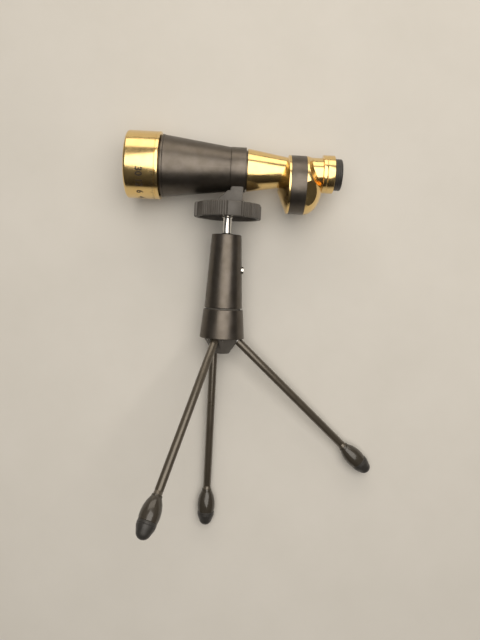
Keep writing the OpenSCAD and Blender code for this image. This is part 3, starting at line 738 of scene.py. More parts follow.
@dataclass
class FrontEnd(Assembly):
    """Focusing ring with its distance scale, trim ring and lens retainer."""

    ring_r: float = 18.8
    recess_r: float = 16.1
    recess_depth: float = 4.5
    bore_r: float = 15.6
    bevel: float = 1.5
    trim_r: float = 17.45
    nose_r: float = 15.55
    lens_r: float = 12.9
    retainer_in_r: float = 11.9
    scale_numbers: tuple[str, ...] = ("30", "12", "6", "4", "3", "2")
    scale_start: float = -20
    scale_pitch: float = 20
    digit_mm: float = 4.2

    def build(self) -> None:
        """Builds every piece."""
        self.ring()
        self.scale()
        self.trim()
        self.retainer()

    def ring(self) -> None:
        """The gold ring: a rolled front edge, a threaded cap recess and a crisp rear lip."""
        x0, x1 = self.up.span("focus_ring", 0)
        inner = grooves(self.recess_r, x0 + self.recess_depth - 0.4, x0 + 0.8, 0.5, -0.16)
        outline = [(self.recess_r + 0.35, x0 + 0.15), (self.recess_r + 0.6, x0)]
        outline += arc((self.ring_r - self.bevel, x0 + self.bevel), self.bevel, -88, 0, 9)
        outline += [(self.ring_r, x1 - 2.2), (self.ring_r - 0.16, x1 - 2.05), (self.ring_r - 0.16, x1 - 1.85),
                    (self.ring_r, x1 - 1.7), (self.ring_r, x1 - 0.35), (self.ring_r - 0.1, x1 - 0.1),
                    (self.ring_r - 0.35, x1), (self.bore_r + 0.2, x1), (self.bore_r, x1 - 0.2),
                    (self.bore_r, x0 + self.recess_depth), (self.recess_r, x0 + self.recess_depth)]
        self.lathed("focus_ring_gold", outline + inner, "gold_anodised", "focus_ring", "focus_ring", 192,
                    smooth=26)

    def scale(self) -> None:
        """A plain distance scale of ticks and numbers, printed round the ring."""
        x0, x1 = self.up.span("focus_ring", 0)
        for k, number in enumerate(self.scale_numbers):
            angle = self.scale_start - k * self.scale_pitch
            bpy.ops.object.select_all(action="DESELECT")
            bpy.ops.object.text_add()
            text = bpy.context.object
            text.data.body, text.data.size = number, self.digit_mm * MM * 1.25
            text.data.align_x, text.data.align_y = "CENTER", "CENTER"
            text.data.extrude, text.data.offset = 0.02 * MM, 0.1 * MM
            bpy.ops.object.convert(target="MESH")
            piece = bpy.context.object
            piece.name = piece.data.name = f"scale_number_{number}"
            self._wrap(piece, x0 + 8.6, angle)
        for k in range(len(self.scale_numbers) * 4 - 3):
            angle = self.scale_start - k * self.scale_pitch / 4
            length = 1.7 if k % 4 == 0 else 0.9
            piece = block(f"scale_tick_{k}", (-0.11, -length, -0.02), (0.11, 0, 0.02))
            self._wrap(piece, x1 - 2.6, angle)

    def _wrap(self, piece: Piece, station: float, angle: float) -> None:
        """Bends a flat mark round the ring and dresses it.

        Args:
            piece: the mark, flat in X and Y, its top towards +Y.
            station: where its origin goes along the scope, in mm.
            angle: where it goes round the ring, in degrees from the side that faces up.
        """
        radius = self.ring_r * MM + 0.00001
        with editing(piece):
            bpy.ops.mesh.select_all(action="SELECT")
            bpy.ops.mesh.subdivide(number_cuts=1)
        for vert in piece.data.vertices:
            turn = math.radians(angle) - vert.co.x / radius
            high = radius + vert.co.z
            vert.co = Vector((station * MM + vert.co.y, -high * math.cos(turn), high * math.sin(turn)))
        outward(piece)
        moved(piece, self.up.world)
        self.finish(piece, "black_paint", Axis.OPTICAL, "focus_ring", finish=INK, smooth=20)

    def trim(self) -> None:
        """The thin beaded lip in front of the barrel."""
        x0, x1 = self.up.span("trim_ring", 0)
        outline = softened([(self.nose_r, x0), (self.trim_r, x0), (self.trim_r, x1), (self.nose_r, x1)],
                           0.35, 4)
        self.lathed("trim_ring_black", outline, "black_anodised", "scope", "trim_ring")

    def retainer(self) -> None:
        """The ring that holds the objective glass, with two spanner slots."""
        x0, x1 = self.up.span("lens_retainer", 0)
        outline = softened([(self.retainer_in_r + 0.25, x0), (self.lens_r, x0), (self.lens_r, x1),
                            (self.retainer_in_r, x1)], 0.12, 2)
        piece = turned("lens_retainer_black", outline, 128)
        slot = block("slot", (-self.lens_r - 1, -0.45, x0 - 1), (self.lens_r + 1, 0.45, x0 + 0.5))
        piece = moved(joined(piece, slot, "DIFFERENCE"), self.up.optical())
        self.finish(piece, "matte_black_metal", Axis.OPTICAL, "objective_cell", ["lens_retainer"])


@dataclass
class Tube(Assembly):
    """Conical barrel, mount collar and tapered gold tube."""

    front_r: float = 17.2
    rear_r: float = 12.3
    nose_r: float = 15.55
    nose_bore_r: float = 13.9
    spigot_r: float = 10.9
    spigot_bore_r: float = 9.4
    wall: float = 3.2
    collar_r: float = 12.5
    tube_front_r: float = 12.0
    tube_rear_r: float = 8.2
    tube_wall: float = 1.5

    def build(self) -> None:
        """Builds every piece."""
        self.barrel()
        self.collar()
        self.tapered()

    def barrel(self) -> None:
        """The black cone, with its nose inside the focusing ring and its spigot in the collar."""
        nose_x0, spigot_x1 = self.up.span("barrel", 0)
        x0, x1 = self.up.span("trim_ring", 0)[1], self.up.span("mount_collar", 0)[0]
        baffle_x0 = self.up.span("baffle_tube", 0)[0]
        bore_x1 = self.up.span("objective_cell", 0)[1] + 2.4
        outline = softened([
            (self.nose_bore_r, nose_x0), (self.nose_r, nose_x0), (self.nose_r, x0), (self.front_r, x0),
            (self.front_r - 0.07, x0 + 0.7), (self.rear_r, x1), (self.spigot_r, x1),
            (self.spigot_r, spigot_x1), (self.spigot_bore_r, spigot_x1), (self.spigot_bore_r, baffle_x0),
            (self.front_r - self.wall, bore_x1), (self.nose_bore_r, bore_x1)], 0.22, 3)
        self.lathed("barrel_black", outline, "black_anodised", "scope", "barrel")

    def collar(self) -> None:
        """The collar that carries the foot, a fine seam away from the barrel."""
        x0, x1 = self.up.span("mount_collar", 0)
        outline = softened([(self.spigot_r, x0), (self.collar_r, x0), (self.collar_r, x1),
                            (self.spigot_r, x1)], 0.3, 3)
        self.lathed("mount_collar_black", outline, "black_anodised", "scope", "mount_collar")

    def tapered(self) -> None:
        """The gold cone from the collar to the prism housing, with a rolled rear edge."""
        joint_x0, x1 = self.up.span("tapered_tube", 0)
        x0 = self.up.span("barrel", 0)[1]
        slope = (self.tube_rear_r - self.tube_front_r) / (x1 - x0)
        outline = softened([
            (self.spigot_bore_r - self.tube_wall, joint_x0), (self.spigot_bore_r, joint_x0),
            (self.spigot_bore_r, x0), (self.tube_front_r - 0.1, x0),
            (self.tube_front_r + slope * 0.4, x0 + 0.4),
            (self.tube_rear_r - slope * 1.6, x1 - 1.6), (self.tube_rear_r - slope * 1.2, x1 - 1.3),
            (self.tube_rear_r - slope * 1.0, x1 - 1.0),
            (self.tube_rear_r, x1), (self.tube_rear_r - self.tube_wall, x1),
            (self.spigot_bore_r - self.tube_wall, x0)], 0.18, 3)
        self.lathed("tapered_tube_gold", outline, "gold_anodised", "scope", "tapered_tube")


@dataclass
class PrismHousing(Assembly):
    """Housing of the offset prisms: front cap, black band and faceted rear cap."""

    drum_r: float = 16.4
    drop: float = 6.9
    wall: float = 1.5
    front_r: float = 5.0
    rim: float = 1.2
    tube_rear_r: float = 8.2
    tube_front_r: float = 12.0
    tube_bore_r: float = 6.7
    tool_reach: float = 9
    neck_r: float = 8.85
    neck_edge: float = 0.2
    eye_tube_r: float = 6.45
    dome_end: float = 63
    dome_short: float = 0.5
    leaf_normal: Place3 = (0.805, -0.471, 0.361)
    leaf_depth: float = 2.3
    flank_normal: Place3 = (0.282, -0.873, -0.397)
    flank_depth: float = 1.5
    flat_wall: float = 0.9

    def build(self) -> None:
        """Builds every piece."""
        self.front_cap()
        self.band()
        self.rear_cap()

    def front_cap(self) -> None:
        """The gold cone in front of the band, hollowed, with the tapered tube let into it."""
        x0 = self.up.span("prism_front_cap", 0)[0]
        x1 = self.up.span("prism_band", 0)[0]
        tube_x0, tube_x1 = self.up.span("barrel", 0)[1], self.up.span("tapered_tube", 0)[1]
        outline = softened([
            (self.front_r, x0), (self.drum_r, x1 - self.rim), (self.drum_r, x1),
            (self.drum_r - self.wall, x1), (self.front_r - self.wall, x0 + self.wall)], 0.15, 2)
        piece = turned("prism_front_cap_gold", [(0, x0)] + outline + [(0, x0 + self.wall)], 160)
        slope = (self.tube_rear_r - self.tube_front_r) / (tube_x1 - tube_x0)
        start = x0 - self.tool_reach
        tool = turned("tube", [(0, start), (self.tube_rear_r - slope * (tube_x1 - start), start),
                               (self.tube_rear_r, tube_x1), (self.tube_bore_r, tube_x1),
                               (self.tube_bore_r, x1 + PAST), (0, x1 + PAST)], 96)
        moved(tool, Matrix.Translation((-self.drop * MM, 0, 0)))
        piece = joined(piece, tool, "DIFFERENCE")
        moved(piece, self.up.optical(self.drop))
        self.finish(piece, "gold_anodised", Axis.OPTICAL, "scope", ["prism_front_cap"])

    def band(self) -> None:
        """The black band round the prisms."""
        x0, x1 = self.up.span("prism_band", 0)
        outline = softened([(self.drum_r - self.wall, x0), (self.drum_r, x0), (self.drum_r, x1),
                            (self.drum_r - self.wall, x1)], 0.25, 3)
        self.lathed("prism_band_black", outline, "black_anodised", "scope", "prism_band", drop=self.drop)

    def rear_cap(self) -> None:
        """The gold dome with its neck, planed with two flats on each flank."""
        x0, x1 = self.up.span("prism_rear_cap", 0)
        reach = (x1 - x0 - self.dome_short) / math.sin(math.radians(self.dome_end))
        piece = self._dome("prism_rear_cap_gold", x0, x0, self.drum_r, reach, 0)
        neck = turned("neck", [(0, x0), (self.neck_r, x0), (self.neck_r, x1 - self.neck_edge),
                               (self.neck_r - self.neck_edge, x1), (0, x1)], 128)
        piece = joined(piece, moved(neck, ALONG_X), "UNION")
        hollow = self._dome("hollow", x0 - PAST, x0, self.drum_r - self.wall, reach - self.wall,
                            self.flat_wall)
        piece = joined(piece, hollow, "DIFFERENCE")
        piece = drilled(piece, self.eye_tube_r, x0 - PAST, x1 + PAST, ALONG_X)
        outward(piece)
        moved(piece, self.up.world)
        self.finish(piece, "gold_anodised", Axis.OPTICAL, "scope", ["prism_rear_cap"], smooth=18)

    def _dome(self, name: str, foot: float, x0: float, radius: float, reach: float,
              inset: float) -> Piece:
        """A dome about the housing's axis, with the flats planed off both flanks.

        Args:
            name: its name.
            foot: where its straight foot starts, in mm along the scope.
            x0: where the dome itself starts.
            radius: its radius there.
            reach: the length of the whole ellipse.
            inset: how much deeper than the surface's own flats these lie.

        Returns:
            The solid dome, upright.
        """
        turns = [math.radians(self.dome_end * k / 22) for k in range(23)]
        dome = [(radius * math.cos(a), x0 + reach * math.sin(a)) for a in turns]
        straight = [(radius, foot)] if foot < x0 else []
        piece = turned(name, [(0, foot)] + straight + dome + [(0, dome[-1][1])], 192)
        moved(piece, Matrix.Translation((0, 0, -self.drop * MM)) @ ALONG_X)
        outer = self.drum_r if inset else radius
        outer_reach = reach + self.wall if inset else reach
        for normal, depth in ((self.leaf_normal, self.leaf_depth), (self.flank_normal, self.flank_depth)):
            far = math.sqrt((normal[0] * outer_reach) ** 2 + (normal[1] ** 2 + normal[2] ** 2) * outer ** 2)
            cut = far - depth - inset
            for side in (1, -1):
                facing = (normal[0], normal[1] * side, normal[2])
                point = (x0 + facing[0] * cut, facing[1] * cut, facing[2] * cut - self.drop)
                sliced(piece, point, facing)
        return piece


@dataclass
class Eyepiece(Assembly):
    """Gold eyepiece ring and the rubber eyecup that slides in it."""

    ring_r: float = 10.6
    tube_r: float = 6.45
    cup_bore_r: float = 8.75
    flange: float = 1.5
    cup_r: float = 8.8
    cup_inner_r: float = 6.75
    running: float = 0.05

    def build(self) -> None:
        """Builds every piece."""
        x0, x1 = self.up.span("eyepiece_ring", 0)
        outline = softened([
            (self.tube_r, x0), (self.ring_r, x0), (self.ring_r, x0 + 2.0), (self.ring_r - 0.14, x0 + 2.15),
            (self.ring_r - 0.14, x0 + 2.35), (self.ring_r, x0 + 2.5), (self.ring_r, x1),
            (self.cup_bore_r, x1), (self.cup_bore_r, x0 + self.flange), (self.tube_r, x0 + self.flange)],
            0.22, 3)
        self.lathed("eyepiece_ring_gold", outline, "gold_anodised", "scope", "eyepiece_ring")
        self.cup(x1)

    def cup(self, ring_x1: float) -> None:
        """The eyecup: a skirt inside the ring and a rolled lip with two soft ribs.

        Args:
            ring_x1: rear of the eyepiece ring, in mm.
        """
        x0, x1 = self.up.span("eyecup", 0)
        lip = ring_x1 + 0.4
        skirt_r = self.cup_bore_r - self.running
        outline = [(self.cup_inner_r, x0), (skirt_r, x0), (skirt_r, lip), (self.cup_r - 0.2, lip),
                   (self.cup_r, lip + 0.2), (self.cup_r, lip + 1.0), (self.cup_r - 0.14, lip + 1.15),
                   (self.cup_r - 0.14, lip + 1.35), (self.cup_r, lip + 1.5), (self.cup_r, lip + 2.2),
                   (self.cup_r - 0.14, lip + 2.35), (self.cup_r - 0.14, lip + 2.5), (self.cup_r, lip + 2.65)]
        outline += arc((self.cup_r - 0.9, x1 - 0.9), 0.9, 5, 90, 8)
        inner = self.cup_inner_r
        outline += [(inner + 0.55, x1), (inner + 0.2, x1 - 0.3), (inner, x1 - 1.1)]
        self.lathed("eyecup_rubber", outline, "rubber", "eyecup", "eyecup", 128)


@dataclass
class Mount(Assembly):
    """Foot under the collar, lock wheel and threaded ball stud."""

    foot_w: float = 14
    foot_x0: float = 0.9
    foot_x1: float = 8.2
    foot_toe: float = -7.5
    foot_rise: float = 9.4
    collar_r: float = 12.5
    insert_r: float = 3.9
    insert_len: float = 2.8
    stud_in: float = 3.7
    stud_gap: float = 0.05
    stud_r: float = 3.15
    stem_r: float = 2.4
    ball_r: float = 6.4
    wheel_r: float = 19.2
    hollow_r: float = 16.2
    hollow_depth: float = 2.5
    nut_r: float = 4.65
    bevel: float = 0.6
    pads: int = 5
    pad_angle: float = 47
    ribs: int = 12
    rib_depth: float = 0.5
    recess_depth: float = 1.0
    nut_wall: float = 3
    segments: int = 1080

    def build(self) -> None:
        """Builds every piece."""
        self.foot()
        self.wheel()
        self.stud()

    def foot(self) -> None:
        """The moulded foot: a block with a sloping toe, saddled under the collar."""
        low, _ = self.up.span("mount_foot", 2)
        half = self.foot_w / 2
        piece = block("mount_foot_nylon", (self.foot_toe, -half, low), (self.foot_x1, half, -self.foot_rise))
        run, rise = self.foot_x0 - self.foot_toe, -self.collar_r - low
        sliced(piece, (self.foot_toe, 0, low), (-rise, 0, run))
        front = block("front", (self.foot_toe - 1, -half - 1, -self.collar_r), (self.foot_x0, half + 1, 0))
        piece = joined(piece, front, "DIFFERENCE")
        piece = eased(piece, 0.45, 3, 20)
        x0, x1 = self.up.span("mount_collar", 0)
        piece = drilled(piece, self.collar_r + 0.01, x0 - 12, x1 + 4, ALONG_X, 160)
        shoulder, top = low + self.insert_len, low + self.stud_in
        clearance_r = self.stud_r + self.stud_gap
        hole = turned("hole", [(0, low - PAST), (self.insert_r, low - PAST), (self.insert_r, shoulder),
                               (clearance_r, shoulder), (clearance_r, top), (0, top)], 64)
        piece = joined(piece, hole, "DIFFERENCE")
        outward(piece)
        moved(piece, self.up.world)
        self.finish(piece, "grey_plastic", Axis.COLUMN, "scope", ["mount_foot"], smooth=25)

    def _rim(self, angle: float) -> float:
        """Radius of the wheel's outline at an angle, in mm.

        Args:
            angle: degrees round the column.

        Returns:
            The radius: crests and valleys on a pad, and the smooth recess between pads.
        """
        sector = (angle - (-90 - self.pad_angle)) % (360 / self.pads)
        if sector >= self.pad_angle:
            inside = min(sector - self.pad_angle, 360 / self.pads - sector)
            return self.wheel_r - self.recess_depth * min(inside / 0.7, 1)
        pitch = self.pad_angle / self.ribs
        share = (sector % pitch) / pitch
        valley = max(0.0, math.sin(math.pi * (share - 0.52) / 0.48)) if share > 0.52 else 0.0
        return self.wheel_r - self.rib_depth * round(4 * valley ** 0.7) / 4

    def wheel(self) -> None:
        """The moulded lock wheel: ribbed pads, smooth recesses and a hollow underside."""
        low, high = self.up.span("lock_wheel", 2)
        hole_r, inner = self.stud_r + 0.4, self.wheel_r - 2.2
        rings = [(hole_r, high), (hole_r, high - 0.5), (self.nut_r, high - 0.5),
                 (self.nut_r, low + self.hollow_depth), (self.hollow_r - 1.2, low + self.hollow_depth),
                 (self.hollow_r - 0.35, low + self.hollow_depth - 0.1),
                 (self.hollow_r, low + self.hollow_depth - 0.45), (self.hollow_r, low + 0.25),
                 (self.hollow_r + 0.25, low), (inner, low)]
        segments = self.segments
        bpy.ops.object.select_all(action="DESELECT")
        bpy.ops.mesh.primitive_circle_add(vertices=segments, radius=rings[0][0] * MM,
                                          location=(0, 0, high * MM))
        piece = bpy.context.object
        piece.name = piece.data.name = "lock_wheel_nylon"
        bpy.ops.object.transform_apply(location=True, rotation=False, scale=False)
        edge = self.wheel_r - self.bevel
        rounding = ((0.3, 0.08), (0.52, 0.3), (0.6, 0.6))
        rim = [(edge, low)] + [(edge + grow, low + rise) for grow, rise in rounding]
        rim += [(edge + grow, high - rise) for grow, rise in reversed(rounding)]
        with editing(piece):
            bpy.ops.mesh.select_all(action="SELECT")
            self._climb(rings + rim[:1])
            self._ribbed(piece, len(rings) * segments, low)
            pick(piece, lambda vert: vert.index >= len(rings) * segments)
            self._climb(rim + [(edge, high), (self.nut_r + self.nut_wall, high)])
            total = len(bmesh.from_edit_mesh(piece.data).verts)
            pick(piece, lambda vert: vert.index < segments or vert.index >= total - segments)
            bpy.ops.mesh.bridge_edge_loops()
        outward(piece)
        moved(piece, self.up.world)
        self.finish(piece, "grey_plastic", Axis.COLUMN, "lock_wheel", ["lock_wheel"], smooth=28)

    def _climb(self, path: Outline) -> None:
        """Extrudes the selected ring along a path, in edit mode.

        Args:
            path: [radius, height] of the ring as it is, and of each next one, in mm.
        """
        for (radius, station), (after, height) in zip(path, path[1:]):
            rise = (0, 0, (height - station) * MM)
            bpy.ops.mesh.extrude_region_move(TRANSFORM_OT_translate={"value": rise})
            scale = after / radius
            bpy.ops.transform.resize(value=(scale, scale, 1), center_override=(0, 0, height * MM))

    def _ribbed(self, piece: Piece, first: int, height: float) -> None:
        """Scales the newest ring's vertices to the ribs' valleys and the recesses.

        Args:
            piece: the wheel, in edit mode.
            first: number of the ring's first vertex.
            height: the ring's height, in mm.
        """
        mesh = bmesh.from_edit_mesh(piece.data)
        levels: dict[float, set[int]] = {}
        for vert in mesh.verts:
            if vert.index >= first:
                angle = math.degrees(math.atan2(vert.co.y, vert.co.x))
                levels.setdefault(round(self._rim(angle), 2), set()).add(vert.index)
        flush = self.wheel_r - self.bevel
        for radius, members in sorted(levels.items()):
            if abs(radius - self.wheel_r) < 1e-6:
                continue
            pick(piece, lambda vert: vert.index in members)
            scale = (radius - self.bevel) / flush
            bpy.ops.transform.resize(value=(scale, scale, 1), center_override=(0, 0, height * MM))

    def stud(self) -> None:
        """The bright ball, stem and thread, turned from one bar."""
        ball_low, top = self.up.span("ball_stud", 2)
        ball_z = ball_low + self.ball_r
        thread = self.up.span("lock_wheel", 2)[0] + 0.1
        neck = math.degrees(math.acos(self.stem_r / self.ball_r))
        outline = [(0, ball_low)] + arc((0, ball_z), self.ball_r, -86, neck, 36)
        outline += [(self.stem_r, ball_z + self.ball_r + 0.2), (self.stem_r, thread - 0.25),
                    (self.stem_r + 0.1, thread), (self.stud_r - 0.45, thread)]
        outline += grooves(self.stud_r, thread + 0.3, top - 0.5, 1.27, 0.55)
        outline += [(self.stud_r - 0.5, top), (0, top)]
        piece = moved(turned("ball_stud_steel", outline, 96), self.up.world)
        self.finish(piece, "polished_steel", Axis.COLUMN, "ball_head", ["ball_stud"])


@dataclass
class Column(Assembly):
    """Clamp sleeve with its stop screw, leg collar, hub and hub screw."""

    sleeve_top_r: float = 8.5
    sleeve_bottom_r: float = 10.9
    bore_r: float = 6.55
    seat_r: float = 6.45
    seat_h: float = 4.4
    ball_depth: float = 5.0
    mouth_flare: float = 0.6
    screw_drop: float = 20
    screw_r: float = 2.25
    screw_head: float = 1.5
    screw_gap: float = 0.12
    screw_sink: float = 0.5
    screw_shank_r: float = 1.2
    collar_top_r: float = 11.4
    collar_bottom_r: float = 12.9
    chamber_r: float = 11.6
    core_r: float = 6.5
    hub_top_r: float = 10.6
    hub_tip_r: float = 4.6
    slot_half: float = 2.55
    slot_floor: float = 5.3
    pin_r: float = 1.1
    pin_half: float = 5.2
    hub_screw_r: float = 1.9
    hub_head_r: float = 3.2

    def build(self) -> None:
        """Builds every piece."""
        self.sleeve()
        self.stop_screw()
        self.collar()
        self.hub()
        self.hub_screw()

    def sleeve(self) -> None:
        """The tapered black sleeve, its flared mouth over the ball, with the screw's pocket."""
        low, high = self.up.span("clamp_sleeve", 2)
        ball_z = high - self.ball_depth
        mouth_r = math.sqrt(self.seat_r ** 2 - self.seat_h ** 2)
        lip = mouth_r + self.mouth_flare
        outer = softened([(self.bore_r, low), (self.sleeve_bottom_r, low), (self.sleeve_top_r, high),
                          (lip, high)], 0.4, 4)
        seat = arc((0, ball_z), self.seat_r, math.degrees(math.asin(self.seat_h / self.seat_r)), 2, 8)
        outline = outer + [(mouth_r + 0.05, ball_z + self.seat_h)] + seat + [(self.bore_r, ball_z)]
        piece = turned("clamp_sleeve_black", outline, 128)
        screw_z = high - self.screw_drop
        face = self.sleeve_top_r + (self.sleeve_bottom_r - self.sleeve_top_r) * self.screw_drop / (high - low)
        piece = drilled(piece, self.screw_r + self.screw_gap, face - self.screw_sink, face + 4,
                        Matrix.Translation((0, 0, screw_z * MM)) @ ALONG_X, 64)
        outward(piece)
        moved(piece, self.up.world)
        self.finish(piece, "black_anodised", Axis.COLUMN, "clamp_sleeve", ["clamp_sleeve"], smooth=28)

    def stop_screw(self) -> None:
        """The cheese-headed stop screw with its driver slot."""
        x0, x1 = self.up.span("stop_screw", 0)
        high = self.up.span("clamp_sleeve", 2)[1]
        under = x1 - self.screw_head
        outline = softened([(self.screw_shank_r, x0), (self.screw_shank_r, under), (self.screw_r, under),
                            (self.screw_r, x1)], 0.2, 3)
        piece = turned("stop_screw_steel", [(0, x0)] + outline + [(0, x1)], 64)
        slot = block("slot", (-3, -0.32, x1 - 0.6), (3, 0.32, x1 + 1))
        piece = joined(piece, slot, "DIFFERENCE")
        outward(piece)
        moved(piece, self.up.world @ Matrix.Translation((0, 0, (high - self.screw_drop) * MM)) @ ALONG_X)
        self.finish(piece, "polished_steel", Axis.OPTICAL, "clamp_sleeve", ["stop_screw"])

    def collar(self) -> None:
        """The black collar above the legs."""
        low, high = self.up.span("leg_collar", 2)
        chamber = low + 6
        outline = softened([
            (self.core_r, high), (self.collar_top_r, high), (self.collar_bottom_r, low),
            (self.chamber_r, low), (self.chamber_r, chamber), (self.core_r, chamber)], 0.4, 4)
        piece = moved(turned("leg_collar_black", outline, 128), self.up.world)
        self.finish(piece, "black_anodised", Axis.COLUMN, "tripod_base", ["leg_collar"])

    def hub(self) -> None:
        """The moulded hub: a cone slotted for the three legs."""
        low, high = self.up.span("leg_hub", 2)
        collar = self.up.span("leg_collar", 2)[0]
        outline = softened([(self.hub_head_r, low + 2), (self.hub_head_r, low), (self.hub_tip_r, low),
                            (self.hub_top_r, collar), (self.chamber_r, collar), (self.chamber_r, high),
                            (self.hub_screw_r, high), (self.hub_screw_r, low + 2)], 0.35, 4)
        piece = turned("leg_hub_nylon", outline, 96)
        for side in ("right", "middle", "left"):
            azimuth = self.up.azimuth(side)
            slot = block("slot", (self.slot_floor, -self.slot_half, low - PAST),
                         (self.chamber_r + 2, self.slot_half, high + PAST))
            piece = joined(piece, moved(slot, azimuth), "DIFFERENCE")
            piece = drilled(piece, self.pin_r, -self.pin_half, self.pin_half,
                            self.up.pivot(side) @ azimuth @ ALONG_Y, 32)
        outward(piece)
        moved(piece, self.up.world)
        self.finish(piece, "grey_plastic", Axis.COLUMN, "tripod_base", ["leg_hub"], smooth=28)

    def hub_screw(self) -> None:
        """The socket screw that holds the hub to the core post."""
        low, high = self.up.span("hub_screw", 2)
        outline = softened([(self.hub_head_r - 0.05, low), (self.hub_head_r - 0.05, low + 1.6),
                            (self.hub_screw_r, low + 1.6), (self.hub_screw_r, high)], 0.18, 3)
        piece = turned("hub_screw_steel", [(0, low)] + outline + [(0, high)], 64)
        socket = turned("socket", [(0, low - 1), (1.45, low - 1), (1.45, low + 1.1), (0, low + 1.3)], 6)
        piece = joined(piece, socket, "DIFFERENCE")
        outward(piece)
        moved(piece, self.up.world)
        self.finish(piece, "plain_steel", Axis.COLUMN, "tripod_base", ["hub_screw"])


@dataclass
class Leg(Assembly):
    """One tripod leg: enamelled rod, glossy ferrule and rubber tip."""

    side: str = "middle"
    rod_r: float = 2.3
    pin_r: float = 1.1
    pin_gap: float = 0.05
    eye_half: float = 4
    rod_len: float = 92
    ankle_r: float = 2.75
    ferrule_len: float = 13.6
    tip_r: float = 5.3
    joint_r: float = 4.95
    nose_r: float = 3.8
    tip_len: float = 3.3
    plug_r: float = 3.3
    plug_len: float = 3.8
    inside: float = 8

    def build(self) -> None:
        """Builds every piece."""
        place, axis = self.up.leg(self.side), Axis(self.side)
        ferrule_end = self.rod_len + self.ferrule_len
        rod = [(0, self.rod_r)] + arc((0, 0), self.rod_r, 86, 0, 12)
        rod += [(self.rod_r, -self.rod_len + 2.2), (self.rod_r - 0.12, -self.rod_len + 2.0),
                (self.rod_r - 0.12, -self.rod_len + 1.7), (self.rod_r, -self.rod_len + 1.5),
                (self.rod_r, -self.rod_len - self.inside), (0, -self.rod_len - self.inside)]
        piece = turned(f"leg_rod_{self.side}_enamel", rod, 64)
        piece = drilled(piece, self.pin_r + self.pin_gap, -self.eye_half, self.eye_half, ALONG_Y, 32)
        outward(piece)
        moved(piece, place)
        self.finish(piece, "black_paint", axis, f"leg_{self.side}", [f"leg_rod_{self.side}"])

        top, low = -self.rod_len, -ferrule_end
        ferrule = softened([
            (self.rod_r, top), (self.ankle_r, top), (self.ankle_r + 0.12, top - 0.9),
            (self.ankle_r + 0.12, top - 1.3), (self.ankle_r + 0.3, top - 1.5), (4.2, top - 4.0),
            (4.95, top - 6.8), (self.tip_r - 0.05, top - 9.4), (self.tip_r - 0.1, top - 11.4),
            (self.joint_r, low + 0.6), (self.joint_r, low), (self.plug_r, low),
            (self.plug_r, low - self.plug_len)], 0.3, 3)
        bottom, floor = -self.rod_len - self.inside, low - self.plug_len
        cup = [(0, bottom), (self.rod_r, bottom), *ferrule, (0, floor)]
        piece = turned(f"foot_ferrule_{self.side}_gloss", cup, 96)
        moved(piece, place)
        self.finish(piece, "ferrule_plastic", axis, f"leg_{self.side}", [f"foot_ferrule_{self.side}"])

        centre = low - self.tip_len - self.tip_r + self.nose_r
        tip = [(self.plug_r, low - self.plug_len), (self.plug_r, low), (self.joint_r - 0.25, low),
               (self.joint_r, low - 0.3), (self.joint_r, low - 1.5), (self.joint_r - 0.16, low - 1.65),
               (self.joint_r - 0.16, low - 1.85), (self.joint_r, low - 2.0)]
        tip += [(self.joint_r - 0.3, low - 3.2), (self.joint_r - 0.75, low - 4.4)]
        tip += arc((0, centre), self.nose_r, -12, -88, 14)
        tip = [(0, low - self.plug_len), *tip, (0, centre - self.nose_r)]
        piece = turned(f"foot_tip_{self.side}_rubber", tip, 96)
        moved(piece, place)
        self.finish(piece, "rubber", axis, f"leg_{self.side}", [f"foot_tip_{self.side}"])


# ---------------------------------------------------------------- studio

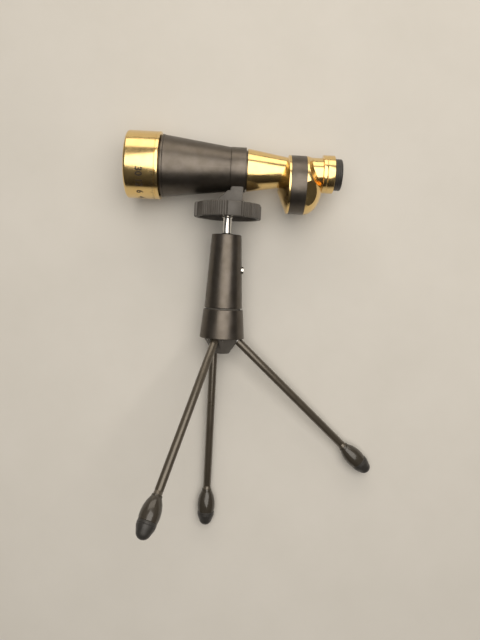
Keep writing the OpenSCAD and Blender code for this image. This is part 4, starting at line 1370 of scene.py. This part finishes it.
@dataclass
class Studio:
    """Pale floor, soft lights and the camera."""

    camera_at: Place3 = (-0.0097, 0.0205, 0.3646)
    camera_turn: Place3 = (-1.698, -0.259, 2.936)
    lens: float = 33.75
    floor_size: float = 6.0

    def build(self) -> None:
        """Builds the floor, the lights, the surroundings and the camera."""
        self.floor()
        self.lights()
        self.surroundings()
        self.camera()

    def floor(self) -> None:
        """A sheet of pale studio paper on the surface."""
        bpy.ops.object.select_all(action="DESELECT")
        bpy.ops.mesh.primitive_plane_add(size=self.floor_size, location=(0, 0, -0.00002))
        floor = bpy.context.object
        floor.name = "studio_floor"
        bpy.ops.object.transform_apply(location=True, rotation=True, scale=True)
        floor.data.materials.append(PAPER.material(Axis.COLUMN, Vector((0, 1, 0))))

    def light(self, name: str, place: Place3, size: tuple[float, float], watts: float, colour: str) -> None:
        """A soft box that faces the object.

        Args:
            name: its name.
            place: where it stands, in metres.
            size: its width and height, in metres.
            watts: its power.
            colour: its sRGB hex colour.
        """
        lamp = bpy.data.lights.new(name, "AREA")
        lamp.shape, lamp.size, lamp.size_y = "RECTANGLE", size[0], size[1]
        lamp.energy, lamp.color = watts, linear(colour)[:3]
        holder = bpy.data.objects.new(name, lamp)
        bpy.context.scene.collection.objects.link(holder)
        holder.location = place
        aim = Vector((0, 0.02, 0.02)) - Vector(place)
        holder.rotation_euler = aim.to_track_quat("-Z", "Y").to_euler()

    def lights(self) -> None:
        """A large warm key overhead, and a low one beyond the scope for its upper edge."""
        self.light("key_softbox", (0.08, 0.14, 0.85), (0.9, 0.98), 7.6, "#fff8ee")
        self.light("back_softbox", (0.0, 1.0, 0.42), (1.2, 0.6), 4.5, "#fff3e2")

    def surroundings(self) -> None:
        """A dim room, brighter on the key's side."""
        world = bpy.data.worlds.new("studio_room")
        bpy.context.scene.world = world
        world.use_nodes = True
        tree = world.node_tree
        background = tree.nodes["Background"]
        place = add_node(tree, "ShaderNodeTexCoord").outputs["Generated"]
        bright = Vector((-0.1, 0.75, 0.65)).normalized()
        towards = add_node(tree, "ShaderNodeVectorMath", {"operation": "DOT_PRODUCT", 1: bright}, {0: place})
        share = ranged(tree, towards.outputs["Value"], (-0.6, 1))
        mixed = blended(tree, share, {6: linear("#5c544c"), 7: linear("#f3efe8")})
        tree.links.new(mixed, background.inputs["Color"])
        background.inputs["Strength"].default_value = 0.22

    def camera(self) -> None:
        """The camera, looking almost straight down."""
        camera = bpy.data.cameras.new("camera")
        camera.lens, camera.sensor_width = self.lens, 36
        camera.clip_start = 0.01
        holder = bpy.data.objects.new("camera", camera)
        bpy.context.scene.collection.objects.link(holder)
        holder.location = self.camera_at
        holder.rotation_euler = [math.radians(turn) for turn in self.camera_turn]
        bpy.context.scene.camera = holder


def dress_carried_over(up: Upright) -> None:
    """Gives every CAD node that still shows its finish.

    Args:
        up: the upright frame.
    """
    slots = {part["node"]: part["material_slot"] for part in frame["record"]["subparts"]}
    column = ("wheel_insert", "ball_pad", "disc_springs", "core_post", "thrust_washer", "pivot",
              "foot_insert")
    for name, node in frame["nodes"].items():
        if node.hide_render:
            continue
        axis = Axis.COLUMN if name.startswith(column) else Axis.OPTICAL
        material = SLOT_FINISH[slots[name]].material(axis, up.direction(axis))
        node.data.materials.clear()
        node.data.materials.append(material)
        LOG.info("%s keeps its CAD shape, in %s", name, material.name)


def main() -> None:
    """Builds the scope, the tripod and the studio in order."""
    logging.basicConfig(level=logging.INFO, format="%(message)s")
    up = Upright(frame)
    assemblies = [FrontEnd(up), Tube(up), PrismHousing(up), Eyepiece(up), Mount(up), Column(up)]
    assemblies += [Leg(up, side=side) for side in ("right", "middle", "left")]
    for assembly in assemblies:
        LOG.info("-- %s", type(assembly).__name__)
        assembly.build()
    dress_carried_over(up)
    Studio().build()
    bpy.context.scene.view_settings.view_transform = "Standard"


if __name__ == "__main__":
    main()
